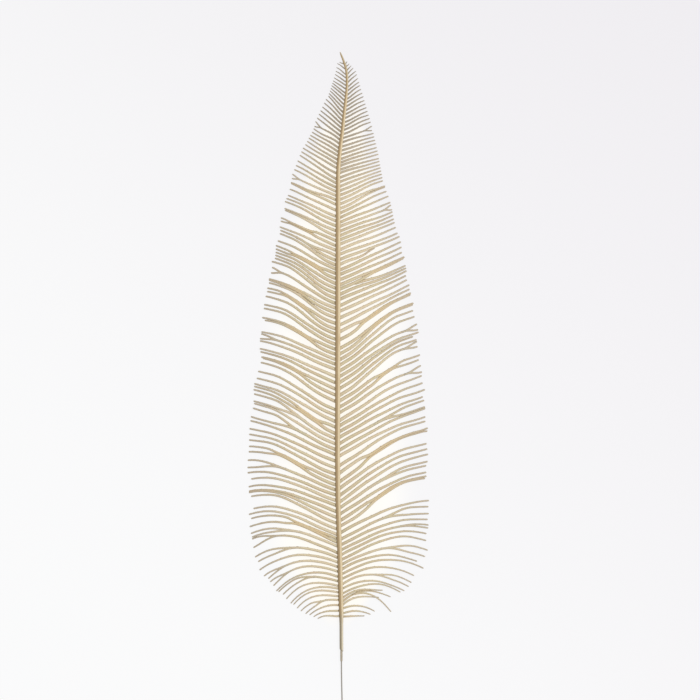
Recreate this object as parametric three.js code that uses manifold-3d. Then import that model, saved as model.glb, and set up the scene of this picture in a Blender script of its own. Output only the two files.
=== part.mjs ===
// A dried feather frond lying flat: one grown body of stalk, midrib and leaflets, with the stem wire
// that stands in its cut end and the short binding round that wire.
// Millimetres, +Z up, +Y from the cut end to the tip. Heights run up the frond from the middle of the
// bare stalk, and a reach runs sideways from the stalk's line.
import * as THREE from "three";
import { mergeVertices } from "three/addons/utils/BufferGeometryUtils.js";
import Module from "manifold-3d";

const wasm = await Module();
wasm.setup();

const STALK_LOW = -21.8; // height of the middle of the cut end
const CUT_SLOPE = -0.62; // the cut runs lower towards the right
const STALK_RADIUS = 2.35;
const TIP_HEIGHT = 755; // height of the midrib's tip
const ARCH = 9; // how far the midrib bows up off the surface at mid length
const ARCH_LOW = 25; // the bow runs from this height
const ARCH_HIGH = 735; // to this one
const LEAF_ARCH = 4; // how far the longest leaflet bows up between root and tip
const LONGEST_LEAF = 125;
const LAYER = 1.25; // neighbouring leaflets pass over each other on three layers this far apart
const LAYERS = 3;
const ROOT_THICKNESS = 1.1; // a leaflet's ridge over its underside, at its root
const TIP_THICKNESS = 0.75;
const ROOT_STRAY = 0.3; // roots stray by half of this up or down the midrib
const ROOT_LIFT = 0.32; // share of the midrib's thickness at which the leaflets stand
const ROOT_INSET = 1; // a leaflet's root lies this far inside the midrib's edge
const ROOT_SUNK = 1.6; // and its solid starts this much further in, or at SUNK_SHARE of its length
const SUNK_SHARE = 0.12;
const FULL_THICKNESS = 5.5; // layers lie closer together where the midrib is thinner than this
const NARROWING = 0.5; // share of its width that a leaflet loses on the way to its tip
const LONG_LEAF = 60; // leaflets longer than this have five steps, those longer than SHORT_LEAF four
const SHORT_LEAF = 30;
const FORK_EASE = 0.36; // prongs part over this share of the reach
const CLING_EASE = 0.16; // and clinging leaflets draw together over this one
const CLING_PITCH = 0.64; // their middles then lie this share of their width apart
const PRONG_LEAD = 0.05; // a second prong's solid starts this share before the fork
const PRONG_STEPS = 3;
const MIDRIB_STEP = 40;
const MIDRIB_SIDES = 8;

const WIRE_RADIUS = 0.85;
const WIRE_HOLE_RADIUS = 1.2;
const WIRE_HOLE_DEPTH = 20;
const WIRE_SEAT = 0.3; // between the wire's end and the bottom of its hole
const WIRE_X = 0.2; // sideways place of the wire in the stalk
const WIRE_REST = 0.1; // the sagging wire clears the surface by about this
const WIRE_STRAIGHT_TO = -38.4; // the wire leaves its straight line at this height
const WIRE_REST_FROM = -87; // lies on the surface from this one
const WIRE_END = -140; // and ends here
const WIRE_DRIFT = 1.7; // how far its end lies to the right
const WIRE_POINTS = [-50, -60, -70, -80, WIRE_REST_FROM, -100, -120]; // heights its curve runs through
const BINDING_INNER_RADIUS = 1.15;
const BINDING_OUTER_RADIUS = 1.6;
const BINDING_HIGH = -23.7; // height of the binding's upper end, just clear of the slanting cut
const BINDING_LENGTH = 12.7;

// Midrib: height, sideways place of its middle
const MIDRIB_LINE = [
  [-22, 0.2], [21, 0], [60, -1], [95, -1.8], [135, -3.2], [170, -4.2], [225, -4.9], [300, -4.7],
  [430, -4.3], [500, -4.2], [600, -4.1], [628, -1.7], [655, 1.9], [672, 3.4], [692, 5.8], [705, 7.2],
  [718, 7.7], [731, 6.9], [739, 5], [748, 1.2], [755, -1.5],
];
// Midrib: height, half width, thickness
const MIDRIB_SECTION = [
  [-22, 2.35, 4.7], [12, 2.35, 4.8], [24, 2.9, 5.4], [60, 3.1, 5.8], [300, 3.3, 6], [430, 3.3, 5.8],
  [560, 3, 5.2], [690, 1.9, 3.4], [740, 1.1, 2], [755, 0.8, 1.4],
];
// Root height of a leaflet, its width there
const LEAF_WIDTH = [
  [20, 3.1], [90, 3.8], [150, 4.5], [450, 4.5], [560, 3.7], [640, 3], [700, 2.4], [740, 1.6],
];

// Tufts of leaflets that dried together, from the tip down: number of leaflets, reach and height of the
// upper tip, reach and height of the lower tip, and the shares of the reach between which they cling
// side by side. A tuft that clings from its root is one leaflet, which forks where that ends.
const LEFT_TUFTS = [
  [2, 2.7, 742, 5.3, 740.5, 0, 0], [3, 6.4, 735, 8.2, 726, 0, 0], [8, 9.6, 721.5, 17, 698, 0, 0],
  [6, 19.8, 694, 31.6, 669.5, 0, 0], [2, 33.5, 665, 34.8, 659, 0, 0.74], [6, 36, 655.5, 46.7, 635, 0, 0],
  [3, 49.8, 630.5, 54, 621, 0, 0], [3, 56.8, 613.5, 61.2, 602.5, 0, 0],
  [2, 63.6, 596.5, 64, 591, 0, 0.82], [2, 65.5, 586, 65.4, 584, 0.75, 1], [1, 67, 576.5, 67, 576.5, 0, 0],
  [3, 69.3, 569, 73.2, 561, 0, 0], [2, 73.8, 552, 73.2, 549.5, 0, 0],
  [2, 78.5, 539.5, 78.8, 535.5, 0.5, 0.8], [1, 80, 528, 80, 528, 0, 0], [1, 59, 513.5, 59, 513.5, 0, 0],
  [1, 79.4, 523.5, 79.4, 523.5, 0, 0], [1, 80, 519, 80, 519, 0, 0], [1, 82.4, 510, 82.4, 510, 0, 0],
  [2, 85.2, 503.5, 85.2, 499, 0.3, 0.66], [3, 85.2, 495, 86.3, 487, 0, 0],
  [1, 90.3, 483, 90.3, 483, 0, 0], [2, 90, 475.5, 91.3, 468.5, 0, 0.83],
  [2, 94.2, 460.2, 94, 458.4, 0.55, 1], [1, 94.2, 455, 94.2, 455, 0, 0],
  [2, 96.2, 448.5, 96.2, 444, 0.47, 0.7], [1, 98.5, 437.5, 98.5, 437.5, 0, 0],
  [2, 100.2, 427, 100.6, 422, 0, 0], [2, 103, 410, 99.5, 406.5, 0.4, 0.6],
  [1, 103.8, 391.5, 103.8, 391.5, 0, 0], [2, 104.2, 388.5, 105.8, 382.5, 0, 0.76],
  [1, 105.8, 379.5, 105.8, 379.5, 0, 0], [2, 106, 369.5, 105.3, 365.5, 0, 0],
  [2, 104, 358.8, 102, 357, 0.52, 1], [1, 104.8, 351.5, 104.8, 351.5, 0, 0],
  [2, 108, 340.5, 109.7, 331.5, 0, 0], [1, 113.2, 324.3, 113.2, 324.3, 0, 0],
  [2, 113.2, 321, 114, 316.5, 0.25, 0.4], [2, 113.5, 311, 114.1, 301.6, 0, 0.36],
  [1, 113.2, 298.8, 113.2, 298.8, 0, 0], [2, 114.8, 292.5, 117.4, 281.5, 0, 0.4],
  [1, 118.2, 276, 118.2, 276, 0, 0], [3, 119.3, 266, 119.9, 251, 0, 0],
  [2, 119.9, 242.5, 120.2, 235.5, 0.42, 0.64], [2, 121.7, 224.5, 122, 215, 0, 0.59],
  [1, 121.8, 208.5, 121.8, 208.5, 0, 0], [1, 117, 200.5, 117, 200.5, 0, 0],
  [1, 120.5, 190, 120.5, 190, 0, 0], [2, 120, 184, 120, 182.5, 0.75, 1],
  [1, 117.3, 177.5, 117.3, 177.5, 0, 0], [1, 114.2, 162, 114.2, 162, 0, 0],
  [1, 120, 154.5, 120, 154.5, 0, 0], [2, 117.2, 148.5, 119.2, 138.5, 0.2, 0.45],
  [2, 117.5, 129.7, 116, 125, 0, 0.46], [2, 116, 122, 114.3, 111, 0, 0.7],
  [2, 112, 98.7, 107.9, 92.6, 0, 0.5], [1, 106, 82, 106, 82, 0, 0], [2, 100.4, 73.7, 94.8, 70.5, 0, 0.71],
  [2, 92.2, 66.3, 88, 61.5, 0, 0.72], [1, 84.4, 55, 84.4, 55, 0, 0], [2, 81.5, 53.3, 75.8, 50, 0, 0.38],
  [1, 71.6, 44.6, 71.6, 44.6, 0, 0], [2, 65.9, 39, 62.3, 37, 0, 0], [1, 57.6, 32.5, 57.6, 32.5, 0, 0],
  [2, 52.4, 28.6, 46.2, 25.2, 0, 0.39], [3, 41.2, 23.1, 30.7, 19, 0, 0],
];
const RIGHT_TUFTS = [
  [4, 7.7, 743, 15.6, 734.5, 0, 0], [15, 19, 730.5, 38.4, 664, 0, 0], [2, 40, 658.5, 40, 653, 0, 0.72],
  [7, 41.9, 649.5, 48.4, 622, 0, 0], [8, 49, 617, 54.2, 588, 0, 0], [2, 56.8, 582, 56.8, 579.5, 0.85, 1],
  [2, 58.8, 574, 61.4, 567.5, 0, 0], [1, 64, 559.7, 64, 559.7, 0, 0],
  [2, 64.6, 556.4, 65.9, 550.5, 0, 0.84], [4, 66.6, 547.3, 69.2, 533.7, 0, 0],
  [2, 71.1, 527.2, 73.1, 520, 0, 0], [1, 75.7, 515.5, 75.7, 515.5, 0, 0],
  [1, 43.5, 500.5, 43.5, 500.5, 0, 0], [3, 77.6, 508.3, 78.9, 494.7, 0, 0],
  [2, 82.2, 488.8, 81, 487.3, 0.56, 1], [1, 83.5, 477.8, 83.5, 477.8, 0, 0],
  [2, 84.1, 474.5, 84.8, 470.6, 0, 0], [1, 84.1, 464.8, 84.1, 464.8, 0, 0],
  [1, 85.4, 458.9, 85.4, 458.9, 0, 0], [2, 88.7, 452.4, 88.7, 447.2, 0, 0],
  [2, 90.6, 441.4, 90, 440.8, 0.37, 1], [2, 93.9, 428.4, 93, 427.5, 0.5, 0.97],
  [1, 93.2, 419.3, 93.2, 419.3, 0, 0], [1, 95.2, 411.5, 95.2, 411.5, 0, 0],
  [2, 98.4, 401.7, 99.7, 394.6, 0, 0.83], [1, 100.4, 391.3, 100.4, 391.3, 0, 0],
  [1, 93.2, 385.5, 93.2, 385.5, 0, 0], [1, 97.8, 381.6, 97.8, 381.6, 0, 0],
  [2, 98.4, 379, 99.1, 372.5, 0, 0.81], [2, 102.3, 361.8, 100.7, 355.4, 0.55, 0.66],
  [2, 103.3, 347.9, 104.8, 339.7, 0, 0.82], [1, 104.8, 334.4, 104.8, 334.4, 0, 0],
  [1, 105.6, 325.4, 105.6, 325.4, 0, 0], [1, 108.6, 316.8, 108.6, 316.8, 0, 0],
  [1, 106, 307.4, 106, 307.4, 0, 0], [2, 107.8, 302.5, 108.8, 294, 0, 0.44],
  [1, 109.2, 292, 109.2, 292, 0, 0], [1, 109.3, 281.3, 109.3, 281.3, 0, 0],
  [2, 109.3, 275.6, 112.2, 268.2, 0, 0.69], [2, 111.5, 264.4, 111.5, 260, 0.38, 0.9],
  [3, 110.8, 246.5, 113, 232.2, 0, 0], [2, 112.3, 223.2, 110.4, 217.9, 0, 0.36],
  [1, 110.4, 209.3, 110.4, 209.3, 0, 0], [2, 110.8, 204.5, 108.9, 200.7, 0.45, 0.93],
  [1, 113.8, 172.3, 113.8, 172.3, 0, 0], [2, 113.4, 164.5, 113.8, 155.4, 0, 0.44],
  [1, 112.3, 147.9, 112.3, 147.9, 0, 0], [2, 113.4, 140.8, 113, 137, 0, 0.63],
  [2, 110.8, 129.2, 110.4, 120.5, 0, 0], [2, 112.3, 107.8, 108.8, 99.5, 0, 0.49],
  [1, 98.5, 93.1, 98.5, 93.1, 0, 0], [1, 106.9, 84.5, 106.9, 84.5, 0, 0],
  [1, 94.5, 74.8, 94.5, 74.8, 0, 0], [2, 91.3, 65.8, 87.8, 60.4, 0, 0.43], [2, 81.9, 55, 77, 53.6, 0, 0],
];
// The lowest leaflets on the right, some of them tangled: root height, reach and height of the tip,
// slope at the root, slope at the tip
const TANGLE = [
  [45.5, 53.8, 56, 0.9, 0], [41.6, 64.2, 46.8, 0.95, -0.35], [38.3, 64.9, 27.8, 1.15, -1.25],
  [35.5, 49, 46.4, 0.95, -0.1], [31.2, 43.3, 28, 0.35, -0.6], [25.5, 38, 24.6, 0.35, -0.35],
  [21.5, 30.3, 22.9, 0.1, 0],
];
// Number of a leaflet, counted down from the tip, and the height of its root
const LEFT_ROOTS = [
  [0, 739], [2, 725.5], [9, 692], [13, 671], [19, 640.5], [26, 604], [28, 589.5], [34, 556.5], [36, 541],
  [43, 496.5], [44, 489.5], [48, 466.5], [57, 409], [59, 395], [67, 342.5], [68, 333.5], [72, 301],
  [73, 290.5], [77, 259.5], [81, 232], [84, 206.5], [90, 166], [93, 143], [95, 128], [98, 112.5],
  [99, 104], [106, 61], [107, 57.5], [110, 43], [113, 22],
];
const RIGHT_ROOTS = [
  [0, 739], [1, 736], [3, 725.5], [8, 699], [18, 648], [24, 615.5], [28, 597], [36, 551], [40, 527.5],
  [44, 504.5], [49, 471.5], [52, 451.5], [53, 445.5], [54, 443.5], [56, 433], [57, 424], [61, 391.5],
  [62, 381], [63, 369.5], [68, 333], [70, 317.5], [71, 309], [74, 286], [75, 276.5], [78, 254.5],
  [81, 230], [82, 217.5], [83, 208.5], [84, 196.5], [87, 170.5], [92, 131], [93, 122], [95, 108],
  [99, 83], [104, 50.5],
];
// Height of the root, slope at the root, slope at the tip, usual rise of the tip above the root
const LEFT_BEND = [
  [22, 0.05, -0.7, -4], [43, 0.15, -1.1, -15], [60, 0.33, -1.15, -18], [80, 0.42, -1, -14],
  [92, 0.45, -0.75, -9], [110, 0.54, -0.4, 10], [138, 0.42, -0.25, 24], [170, 0.36, -0.25, 26],
  [200, 0.37, 0, 30], [235, 0.46, 0.28, 38], [270, 0.5, 0.28, 37], [300, 0.44, 0.2, 36],
  [370, 0.34, 0.12, 34], [400, 0.36, 0.2, 33], [460, 0.42, 0.38, 32], [548, 0.36, 0.35, 30],
  [596, 0.5, 0.66, 28.5], [624, 0.66, 0.66, 23.5], [642, 0.86, 0.8, 23], [658, 0.76, 0.85, 21.5],
  [678, 0.9, 1.03, 19.5], [698, 0.7, 0.83, 14], [715, 0.53, 0.64, 9.3], [728, 0.48, 0.57, 7],
  [738, 0.48, 0.53, 4],
];
const RIGHT_BEND = [
  [50, 0.52, -0.55, 0], [70, 0.66, -0.52, 2], [92, 0.62, -0.34, 10], [112, 0.6, -0.08, 26],
  [134, 0.62, 0.1, 38], [150, 0.68, 0.18, 46], [170, 0.84, 0.2, 52], [200, 0.84, 0.25, 50],
  [220, 0.7, 0.32, 44], [235, 0.64, 0.36, 42], [270, 0.68, 0.42, 42], [320, 0.7, 0.38, 44],
  [350, 0.68, 0.36, 46], [375, 0.54, 0.38, 46], [395, 0.5, 0.52, 46], [450, 0.44, 0.52, 36],
  [541, 0.42, 0.42, 26], [600, 0.4, 0.32, 16], [628, 0.33, 0.29, 12], [655, 0.4, 0.4, 12],
  [690, 0.54, 0.5, 11.5], [705, 0.76, 0.65, 11], [719, 1.05, 0.85, 11], [737, 1.1, 0.85, 6],
];
const LEFT = { side: -1, tufts: LEFT_TUFTS, roots: LEFT_ROOTS, bend: LEFT_BEND, firstSeed: 0 };
const RIGHT = { side: 1, tufts: RIGHT_TUFTS, roots: RIGHT_ROOTS, bend: RIGHT_BEND, firstSeed: 200 };

const MATERIALS = {
  frond: new THREE.MeshStandardMaterial({ color: 0xc9ba98, roughness: 0.75, metalness: 0 }),
  wire: new THREE.MeshStandardMaterial({ color: 0xa8a49c, roughness: 0.5, metalness: 0.6 }),
  binding: new THREE.MeshStandardMaterial({ color: 0xa9977c, roughness: 0.85, metalness: 0 }),
};

// Value of one column of a table whose first column rises
function interpolate(table, at, column = 1) {
  const next = table.findIndex((row) => row[0] >= at);
  if (next === 0) return table[0][column];
  if (next < 0) return table[table.length - 1][column];
  const [low, high] = [table[next - 1], table[next]];
  return THREE.MathUtils.mapLinear(at, low[0], high[0], low[column], high[column]);
}

// A repeatable number from 0 to 1
function chance(seed) {
  const value = Math.sin(seed * 12.9898 + 4.1414) * 43758.5453;
  return value - Math.floor(value);
}

// Lifts of the midrib's underside above the surface
function underside(height) {
  const share = THREE.MathUtils.clamp((height - ARCH_LOW) / (ARCH_HIGH - ARCH_LOW), 0, 1);
  return (ARCH * (1 - Math.cos(2 * Math.PI * share))) / 2;
}

// One leaflet that bends as its neighbours do; place tells how far below its tuft's middle it lies
function makeLeaflet(row, number, tipReach, tipHeight, place = 0) {
  const seed = number + row.firstSeed;
  const root = interpolate(row.roots, number) + ROOT_STRAY * (chance(seed) - 0.5);
  return growLeaflet(row, number, root, { tipReach, tipHeight, place });
}

function growLeaflet(row, number, root, tip) {
  const edgeReach = row.side * interpolate(MIDRIB_LINE, root) + interpolate(MIDRIB_SECTION, root);
  const rootReach = edgeReach - ROOT_INSET;
  return {
    side: row.side,
    number,
    root,
    rootReach,
    span: tip.tipReach - rootReach,
    slopeRoot: interpolate(row.bend, root, 1),
    slopeTip: interpolate(row.bend, root, 2),
    rise: interpolate(row.bend, root, 3),
    settled: 0.75 + 0.1 * chance(number + row.firstSeed + 0.5),
    clingFrom: 0,
    clingTo: 0,
    startsAt: 0,
    ...tip,
  };
}

// All the leaflets of one side, from the tip down; the prongs of a forked one share its number
function sideLeaflets(row) {
  const leaflets = [];
  let number = 0;
  for (const [count, upperReach, upperHeight, lowerReach, lowerHeight, clingFrom, clingTo] of row.tufts) {
    const forked = clingTo > 0 && clingFrom === 0;
    const tuft = [];
    for (let place = 0; place < count; place += 1) {
      const share = count > 1 ? place / (count - 1) : 0.5;
      const reach = THREE.MathUtils.lerp(upperReach, lowerReach, share);
      const height = THREE.MathUtils.lerp(upperHeight, lowerHeight, share);
      const below = place - (count - 1) / 2;
      const leaflet = makeLeaflet(row, forked ? number : number + place, reach, height, below);
      const startsAt = forked && place > 0 ? clingTo - PRONG_LEAD : 0;
      tuft.push(Object.assign(leaflet, { clingFrom, clingTo, startsAt, tuft }));
    }
    number += forked ? 1 : count;
    leaflets.push(...tuft);
  }
  return leaflets;
}

function tangledLeaflets(firstNumber) {
  return TANGLE.map(([root, tipReach, tipHeight, slopeRoot, slopeTip], index) => {
    const leaflet = growLeaflet(RIGHT, firstNumber + index, root, { tipReach, tipHeight, place: 0 });
    return Object.assign(leaflet, { slopeRoot, slopeTip, rise: tipHeight - root });
  });
}

function leafWidth(leaflet, t) {
  return interpolate(LEAF_WIDTH, leaflet.root) * (1 - NARROWING * Math.max(t, 0));
}

// Height of a leaflet's middle line at the share t of its reach, apart from its tuft
function looseHeight(leaflet, t) {
  const stray = leaflet.tipHeight - leaflet.root - leaflet.rise;
  return (
    leaflet.root
    + (t ** 3 - 2 * t ** 2 + t) * leaflet.span * leaflet.slopeRoot
    + (3 * t ** 2 - 2 * t ** 3) * leaflet.rise
    + (t ** 3 - t ** 2) * leaflet.span * leaflet.slopeTip
    + stray * THREE.MathUtils.smoothstep(t, 0.1, leaflet.settled)
  );
}

// Height of a leaflet's middle line, drawn to its tuft where they cling or are one leaflet still
function tuftHeight(leaflet, t) {
  const height = looseHeight(leaflet, t);
  const { clingFrom, clingTo, tuft } = leaflet;
  if (clingTo === 0) return height;
  const heights = tuft.map((mate) => looseHeight(mate, Math.min(1, (leaflet.span * t) / mate.span)));
  const mean = heights.reduce((sum, each) => sum + each, 0) / tuft.length;
  if (clingFrom === 0) {
    const parted = THREE.MathUtils.smoothstep(t, clingTo, clingTo + Math.min(FORK_EASE, 1 - clingTo));
    return THREE.MathUtils.lerp(mean, height, parted);
  }
  const drawn = THREE.MathUtils.smoothstep(t, clingFrom - CLING_EASE, clingFrom);
  const parted = THREE.MathUtils.smoothstep(t, clingTo, clingTo + CLING_EASE);
  const beside = mean - leaflet.place * CLING_PITCH * leafWidth(leaflet, t);
  return THREE.MathUtils.lerp(height, beside, drawn * (1 - parted));
}

// Middle of a leaflet's underside at the share t of its reach
function leafletPoint(leaflet, t) {
  const thickness = interpolate(MIDRIB_SECTION, leaflet.root, 2);
  const layer = (leaflet.number % LAYERS) * LAYER * Math.min(1, thickness / FULL_THICKNESS);
  const rootLift = underside(leaflet.root) + ROOT_LIFT * thickness;
  const bow = LEAF_ARCH * (leaflet.span / LONGEST_LEAF) * 4 * t * (1 - t);
  const reach = leaflet.rootReach + leaflet.span * t;
  return new THREE.Vector3(leaflet.side * reach, tuftHeight(leaflet, t), rootLift * (1 - t) + bow + layer);
}

// Closed solid from rings of points of the same number, each ring listed anticlockwise seen from its end
function solidFromRings(rings) {
  const sides = rings[0].length;
  const triangles = [];
  for (let ring = 0; ring + 1 < rings.length; ring += 1) {
    for (let side = 0; side < sides; side += 1) {
      const next = (side + 1) % sides;
      const [a, b] = [ring * sides + side, ring * sides + next];
      triangles.push(a, b, a + sides, b, b + sides, a + sides);
    }
  }
  const last = (rings.length - 1) * sides;
  for (let side = 1; side + 1 < sides; side += 1) {
    triangles.push(0, side + 1, side, last, last + side, last + side + 1);
  }
  const vertProperties = new Float32Array(rings.flat().flatMap((point) => point.toArray()));
  const mesh = new wasm.Mesh({ numProp: 3, vertProperties, triVerts: new Uint32Array(triangles) });
  return new wasm.Manifold(mesh);
}

function leafletSteps(leaflet) {
  if (leaflet.startsAt > 0) return PRONG_STEPS;
  if (leaflet.span > LONG_LEAF) return 5;
  return leaflet.span > SHORT_LEAF ? 4 : 3;
}

// One leaflet: flat below with a ridge above, tapering to a blunt tip
function leafletSolid(leaflet) {
  const steps = leafletSteps(leaflet);
  const start = leaflet.startsAt || -Math.min(SUNK_SHARE, ROOT_SUNK / leaflet.span);
  const rings = [];
  for (let step = 0; step <= steps; step += 1) {
    const t = THREE.MathUtils.lerp(start, 1, step / steps);
    const middle = leafletPoint(leaflet, t);
    const ahead = leafletPoint(leaflet, t + 0.01).sub(leafletPoint(leaflet, t - 0.01));
    const across = new THREE.Vector3(-ahead.y, ahead.x, 0).normalize();
    const half = leafWidth(leaflet, t) / 2;
    const thickness = THREE.MathUtils.lerp(ROOT_THICKNESS, TIP_THICKNESS, Math.max(t, 0));
    rings.push([
      middle.clone().addScaledVector(across, -half),
      middle.clone().addScaledVector(across, half),
      middle.clone().add(new THREE.Vector3(0, 0, thickness)),
    ]);
  }
  return solidFromRings(rings);
}

// Stalk and midrib: an eight-sided sweep, flat below, that narrows to the tip
function midribSolid() {
  const heights = [STALK_LOW, 0, 14, 24, 60];
  for (let height = 100; height < 600; height += MIDRIB_STEP) heights.push(height);
  heights.push(600, 628, 655, 672, 692, 705, 718, 731, 739, 748, TIP_HEIGHT);
  const corner = Math.cos(Math.PI / MIDRIB_SIDES);
  const rings = heights.map((height) => {
    const half = interpolate(MIDRIB_SECTION, height, 1);
    const thickness = interpolate(MIDRIB_SECTION, height, 2);
    const middle = interpolate(MIDRIB_LINE, height);
    const lift = underside(height) + thickness / 2;
    return Array.from({ length: MIDRIB_SIDES }, (_, side) => {
      const angle = (-Math.PI / MIDRIB_SIDES) * (2 * side + 1);
      const x = (half * Math.cos(angle)) / corner;
      const z = (thickness * Math.sin(angle)) / (2 * corner);
      const slant = height === STALK_LOW ? CUT_SLOPE * x : 0;
      return new THREE.Vector3(middle + x, height + slant, lift + z);
    });
  });
  return solidFromRings(rings);
}

// A closed solid made of a geometry whose shared corners are merged
function solidFromGeometry(geometry) {
  const bare = geometry.clone();
  bare.deleteAttribute("normal");
  bare.deleteAttribute("uv");
  const merged = mergeVertices(bare, 1e-4);
  const triVerts = new Uint32Array(merged.index.array);
  const mesh = new wasm.Mesh({ numProp: 3, vertProperties: merged.attributes.position.array, triVerts });
  return new wasm.Manifold(mesh);
}

function geometryFromSolid(solid) {
  const { vertProperties, triVerts } = solid.getMesh();
  const geometry = new THREE.BufferGeometry();
  geometry.setAttribute("position", new THREE.BufferAttribute(vertProperties, 3));
  geometry.setIndex(new THREE.BufferAttribute(triVerts, 1));
  geometry.computeVertexNormals();
  return geometry;
}

// Plain blind hole in the cut end that the wire stands in
function wireHole() {
  const overshoot = 4;
  const length = WIRE_HOLE_DEPTH + overshoot;
  const hole = new THREE.CylinderGeometry(WIRE_HOLE_RADIUS, WIRE_HOLE_RADIUS, length, 12);
  hole.translate(WIRE_X, STALK_LOW + (WIRE_HOLE_DEPTH - overshoot) / 2, STALK_RADIUS);
  return solidFromGeometry(hole);
}

// All the solids joined into one, two by two
function joinSolids(solids) {
  if (solids.length === 1) return solids[0];
  const half = Math.ceil(solids.length / 2);
  return joinSolids(solids.slice(0, half)).add(joinSolids(solids.slice(half)));
}

function frondGeometry() {
  const right = sideLeaflets(RIGHT);
  const leaflets = [...sideLeaflets(LEFT), ...right, ...tangledLeaflets(right.length)];
  const grown = joinSolids([midribSolid(), ...leaflets.map(leafletSolid)]);
  return geometryFromSolid(grown.subtract(wireHole()));
}

// Middle of the wire at a height: straight through the binding, then down to lie on the surface
function wirePoint(height) {
  const sag = THREE.MathUtils.smoothstep(-height, -WIRE_STRAIGHT_TO, -WIRE_REST_FROM);
  const drift = WIRE_DRIFT * THREE.MathUtils.smoothstep(-height, -WIRE_STRAIGHT_TO, -WIRE_END);
  const lift = THREE.MathUtils.lerp(STALK_RADIUS, WIRE_RADIUS + WIRE_REST, sag);
  return new THREE.Vector3(WIRE_X + drift, height, lift);
}

function wireGeometry() {
  const start = STALK_LOW + WIRE_HOLE_DEPTH - WIRE_SEAT;
  const straight = [start, STALK_LOW, BINDING_HIGH - BINDING_LENGTH, WIRE_STRAIGHT_TO];
  const heights = [...straight, ...WIRE_POINTS, WIRE_END];
  const path = new THREE.CatmullRomCurve3(heights.map(wirePoint));
  const section = new THREE.Shape();
  section.absarc(0, 0, WIRE_RADIUS, 0, 2 * Math.PI);
  return new THREE.ExtrudeGeometry(section, { steps: 28, curveSegments: 5, extrudePath: path });
}

// Binding: a thin sleeve round the wire, close under the cut end
function bindingGeometry() {
  const profile = [
    new THREE.Vector2(BINDING_INNER_RADIUS, 0),
    new THREE.Vector2(BINDING_OUTER_RADIUS, 0),
    new THREE.Vector2(BINDING_OUTER_RADIUS, BINDING_LENGTH),
    new THREE.Vector2(BINDING_INNER_RADIUS, BINDING_LENGTH),
    new THREE.Vector2(BINDING_INNER_RADIUS, 0),
  ];
  const sleeve = new THREE.LatheGeometry(profile, 16);
  sleeve.translate(WIRE_X, BINDING_HIGH - BINDING_LENGTH, STALK_RADIUS);
  return sleeve;
}

function namedMesh(name, geometry, material) {
  const mesh = new THREE.Mesh(geometry, material);
  mesh.name = name;
  return mesh;
}

// The part, with its origin under the middle of its bounding box, on the surface that it lies on
function makePart() {
  const pieces = new THREE.Group();
  pieces.add(namedMesh("frond", frondGeometry(), MATERIALS.frond));
  pieces.add(namedMesh("stem_wire", wireGeometry(), MATERIALS.wire));
  pieces.add(namedMesh("wire_binding", bindingGeometry(), MATERIALS.binding));
  const box = new THREE.Box3().setFromObject(pieces, true);
  const middle = box.getCenter(new THREE.Vector3());
  pieces.position.set(-middle.x, -middle.y, -box.min.z);
  const part = new THREE.Group();
  part.add(pieces);
  return part;
}

export default makePart();
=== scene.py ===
"""Dresses a dried feather frond that lies flat, seen from straight above.

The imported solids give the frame. Over them this script grows the fine frond: a fluted midrib with its
knobs and slanting cut, two rows of thin toothed leaflets, the stem wire and its taped binding. Places
in the tables are millimetres: heights run up the frond from the middle of the bare stalk, and a reach
runs sideways from the stalk's line.
"""
import logging
import math
from dataclasses import dataclass, field
from enum import Enum

import bmesh
import bpy
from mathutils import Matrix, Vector


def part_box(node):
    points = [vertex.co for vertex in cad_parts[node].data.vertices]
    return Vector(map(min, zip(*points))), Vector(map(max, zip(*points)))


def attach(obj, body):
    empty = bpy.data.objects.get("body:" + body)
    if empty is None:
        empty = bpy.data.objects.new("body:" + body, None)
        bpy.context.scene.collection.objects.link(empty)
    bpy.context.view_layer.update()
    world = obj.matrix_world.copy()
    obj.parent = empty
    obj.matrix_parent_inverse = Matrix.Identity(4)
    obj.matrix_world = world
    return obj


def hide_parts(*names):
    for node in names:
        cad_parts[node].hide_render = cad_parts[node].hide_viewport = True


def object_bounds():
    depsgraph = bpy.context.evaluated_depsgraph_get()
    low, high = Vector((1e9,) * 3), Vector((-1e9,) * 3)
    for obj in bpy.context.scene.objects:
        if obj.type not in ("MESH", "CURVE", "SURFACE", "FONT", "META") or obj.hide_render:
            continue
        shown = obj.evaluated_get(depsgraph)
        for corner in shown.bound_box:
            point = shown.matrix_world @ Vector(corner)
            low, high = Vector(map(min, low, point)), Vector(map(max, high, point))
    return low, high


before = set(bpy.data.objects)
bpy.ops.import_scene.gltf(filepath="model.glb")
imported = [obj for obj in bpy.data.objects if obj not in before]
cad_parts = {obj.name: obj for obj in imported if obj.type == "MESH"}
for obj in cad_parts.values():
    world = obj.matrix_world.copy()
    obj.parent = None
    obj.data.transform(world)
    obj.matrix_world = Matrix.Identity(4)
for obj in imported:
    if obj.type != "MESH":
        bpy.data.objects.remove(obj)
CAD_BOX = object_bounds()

log = logging.getLogger("frond")

MM = 0.001
Table = tuple[tuple[float, ...], ...]
Colour = tuple[float, float, float, float]
Waves = tuple[float, float, float]

STALK_LOW = -21.8
CUT_SLOPE = -0.62
STALK_RADIUS = 2.35
TIP_HEIGHT = 755.0
HOLE_DEPTH = 20.0
WIRE_X = 0.2
BINDING_HIGH = -23.7
# The midrib bows up off the surface from BOW_START, over BOW_LENGTH of its height
BOW_START = 25.0
BOW_LENGTH = 710.0
BOW_HEIGHT = 9.0

# Midrib: height, sideways place of its middle
MIDRIB_LINE: Table = (
    (-22, 0.2), (21, 0), (60, -1), (95, -1.8), (135, -3.2), (170, -4.2), (225, -4.9), (300, -4.7),
    (430, -4.3), (500, -4.2), (600, -4.1), (628, -1.7), (655, 1.9), (672, 3.4), (692, 5.8), (705, 7.2),
    (718, 7.7), (731, 6.9), (739, 5), (748, 1.2), (755, -1.5),
)
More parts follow.
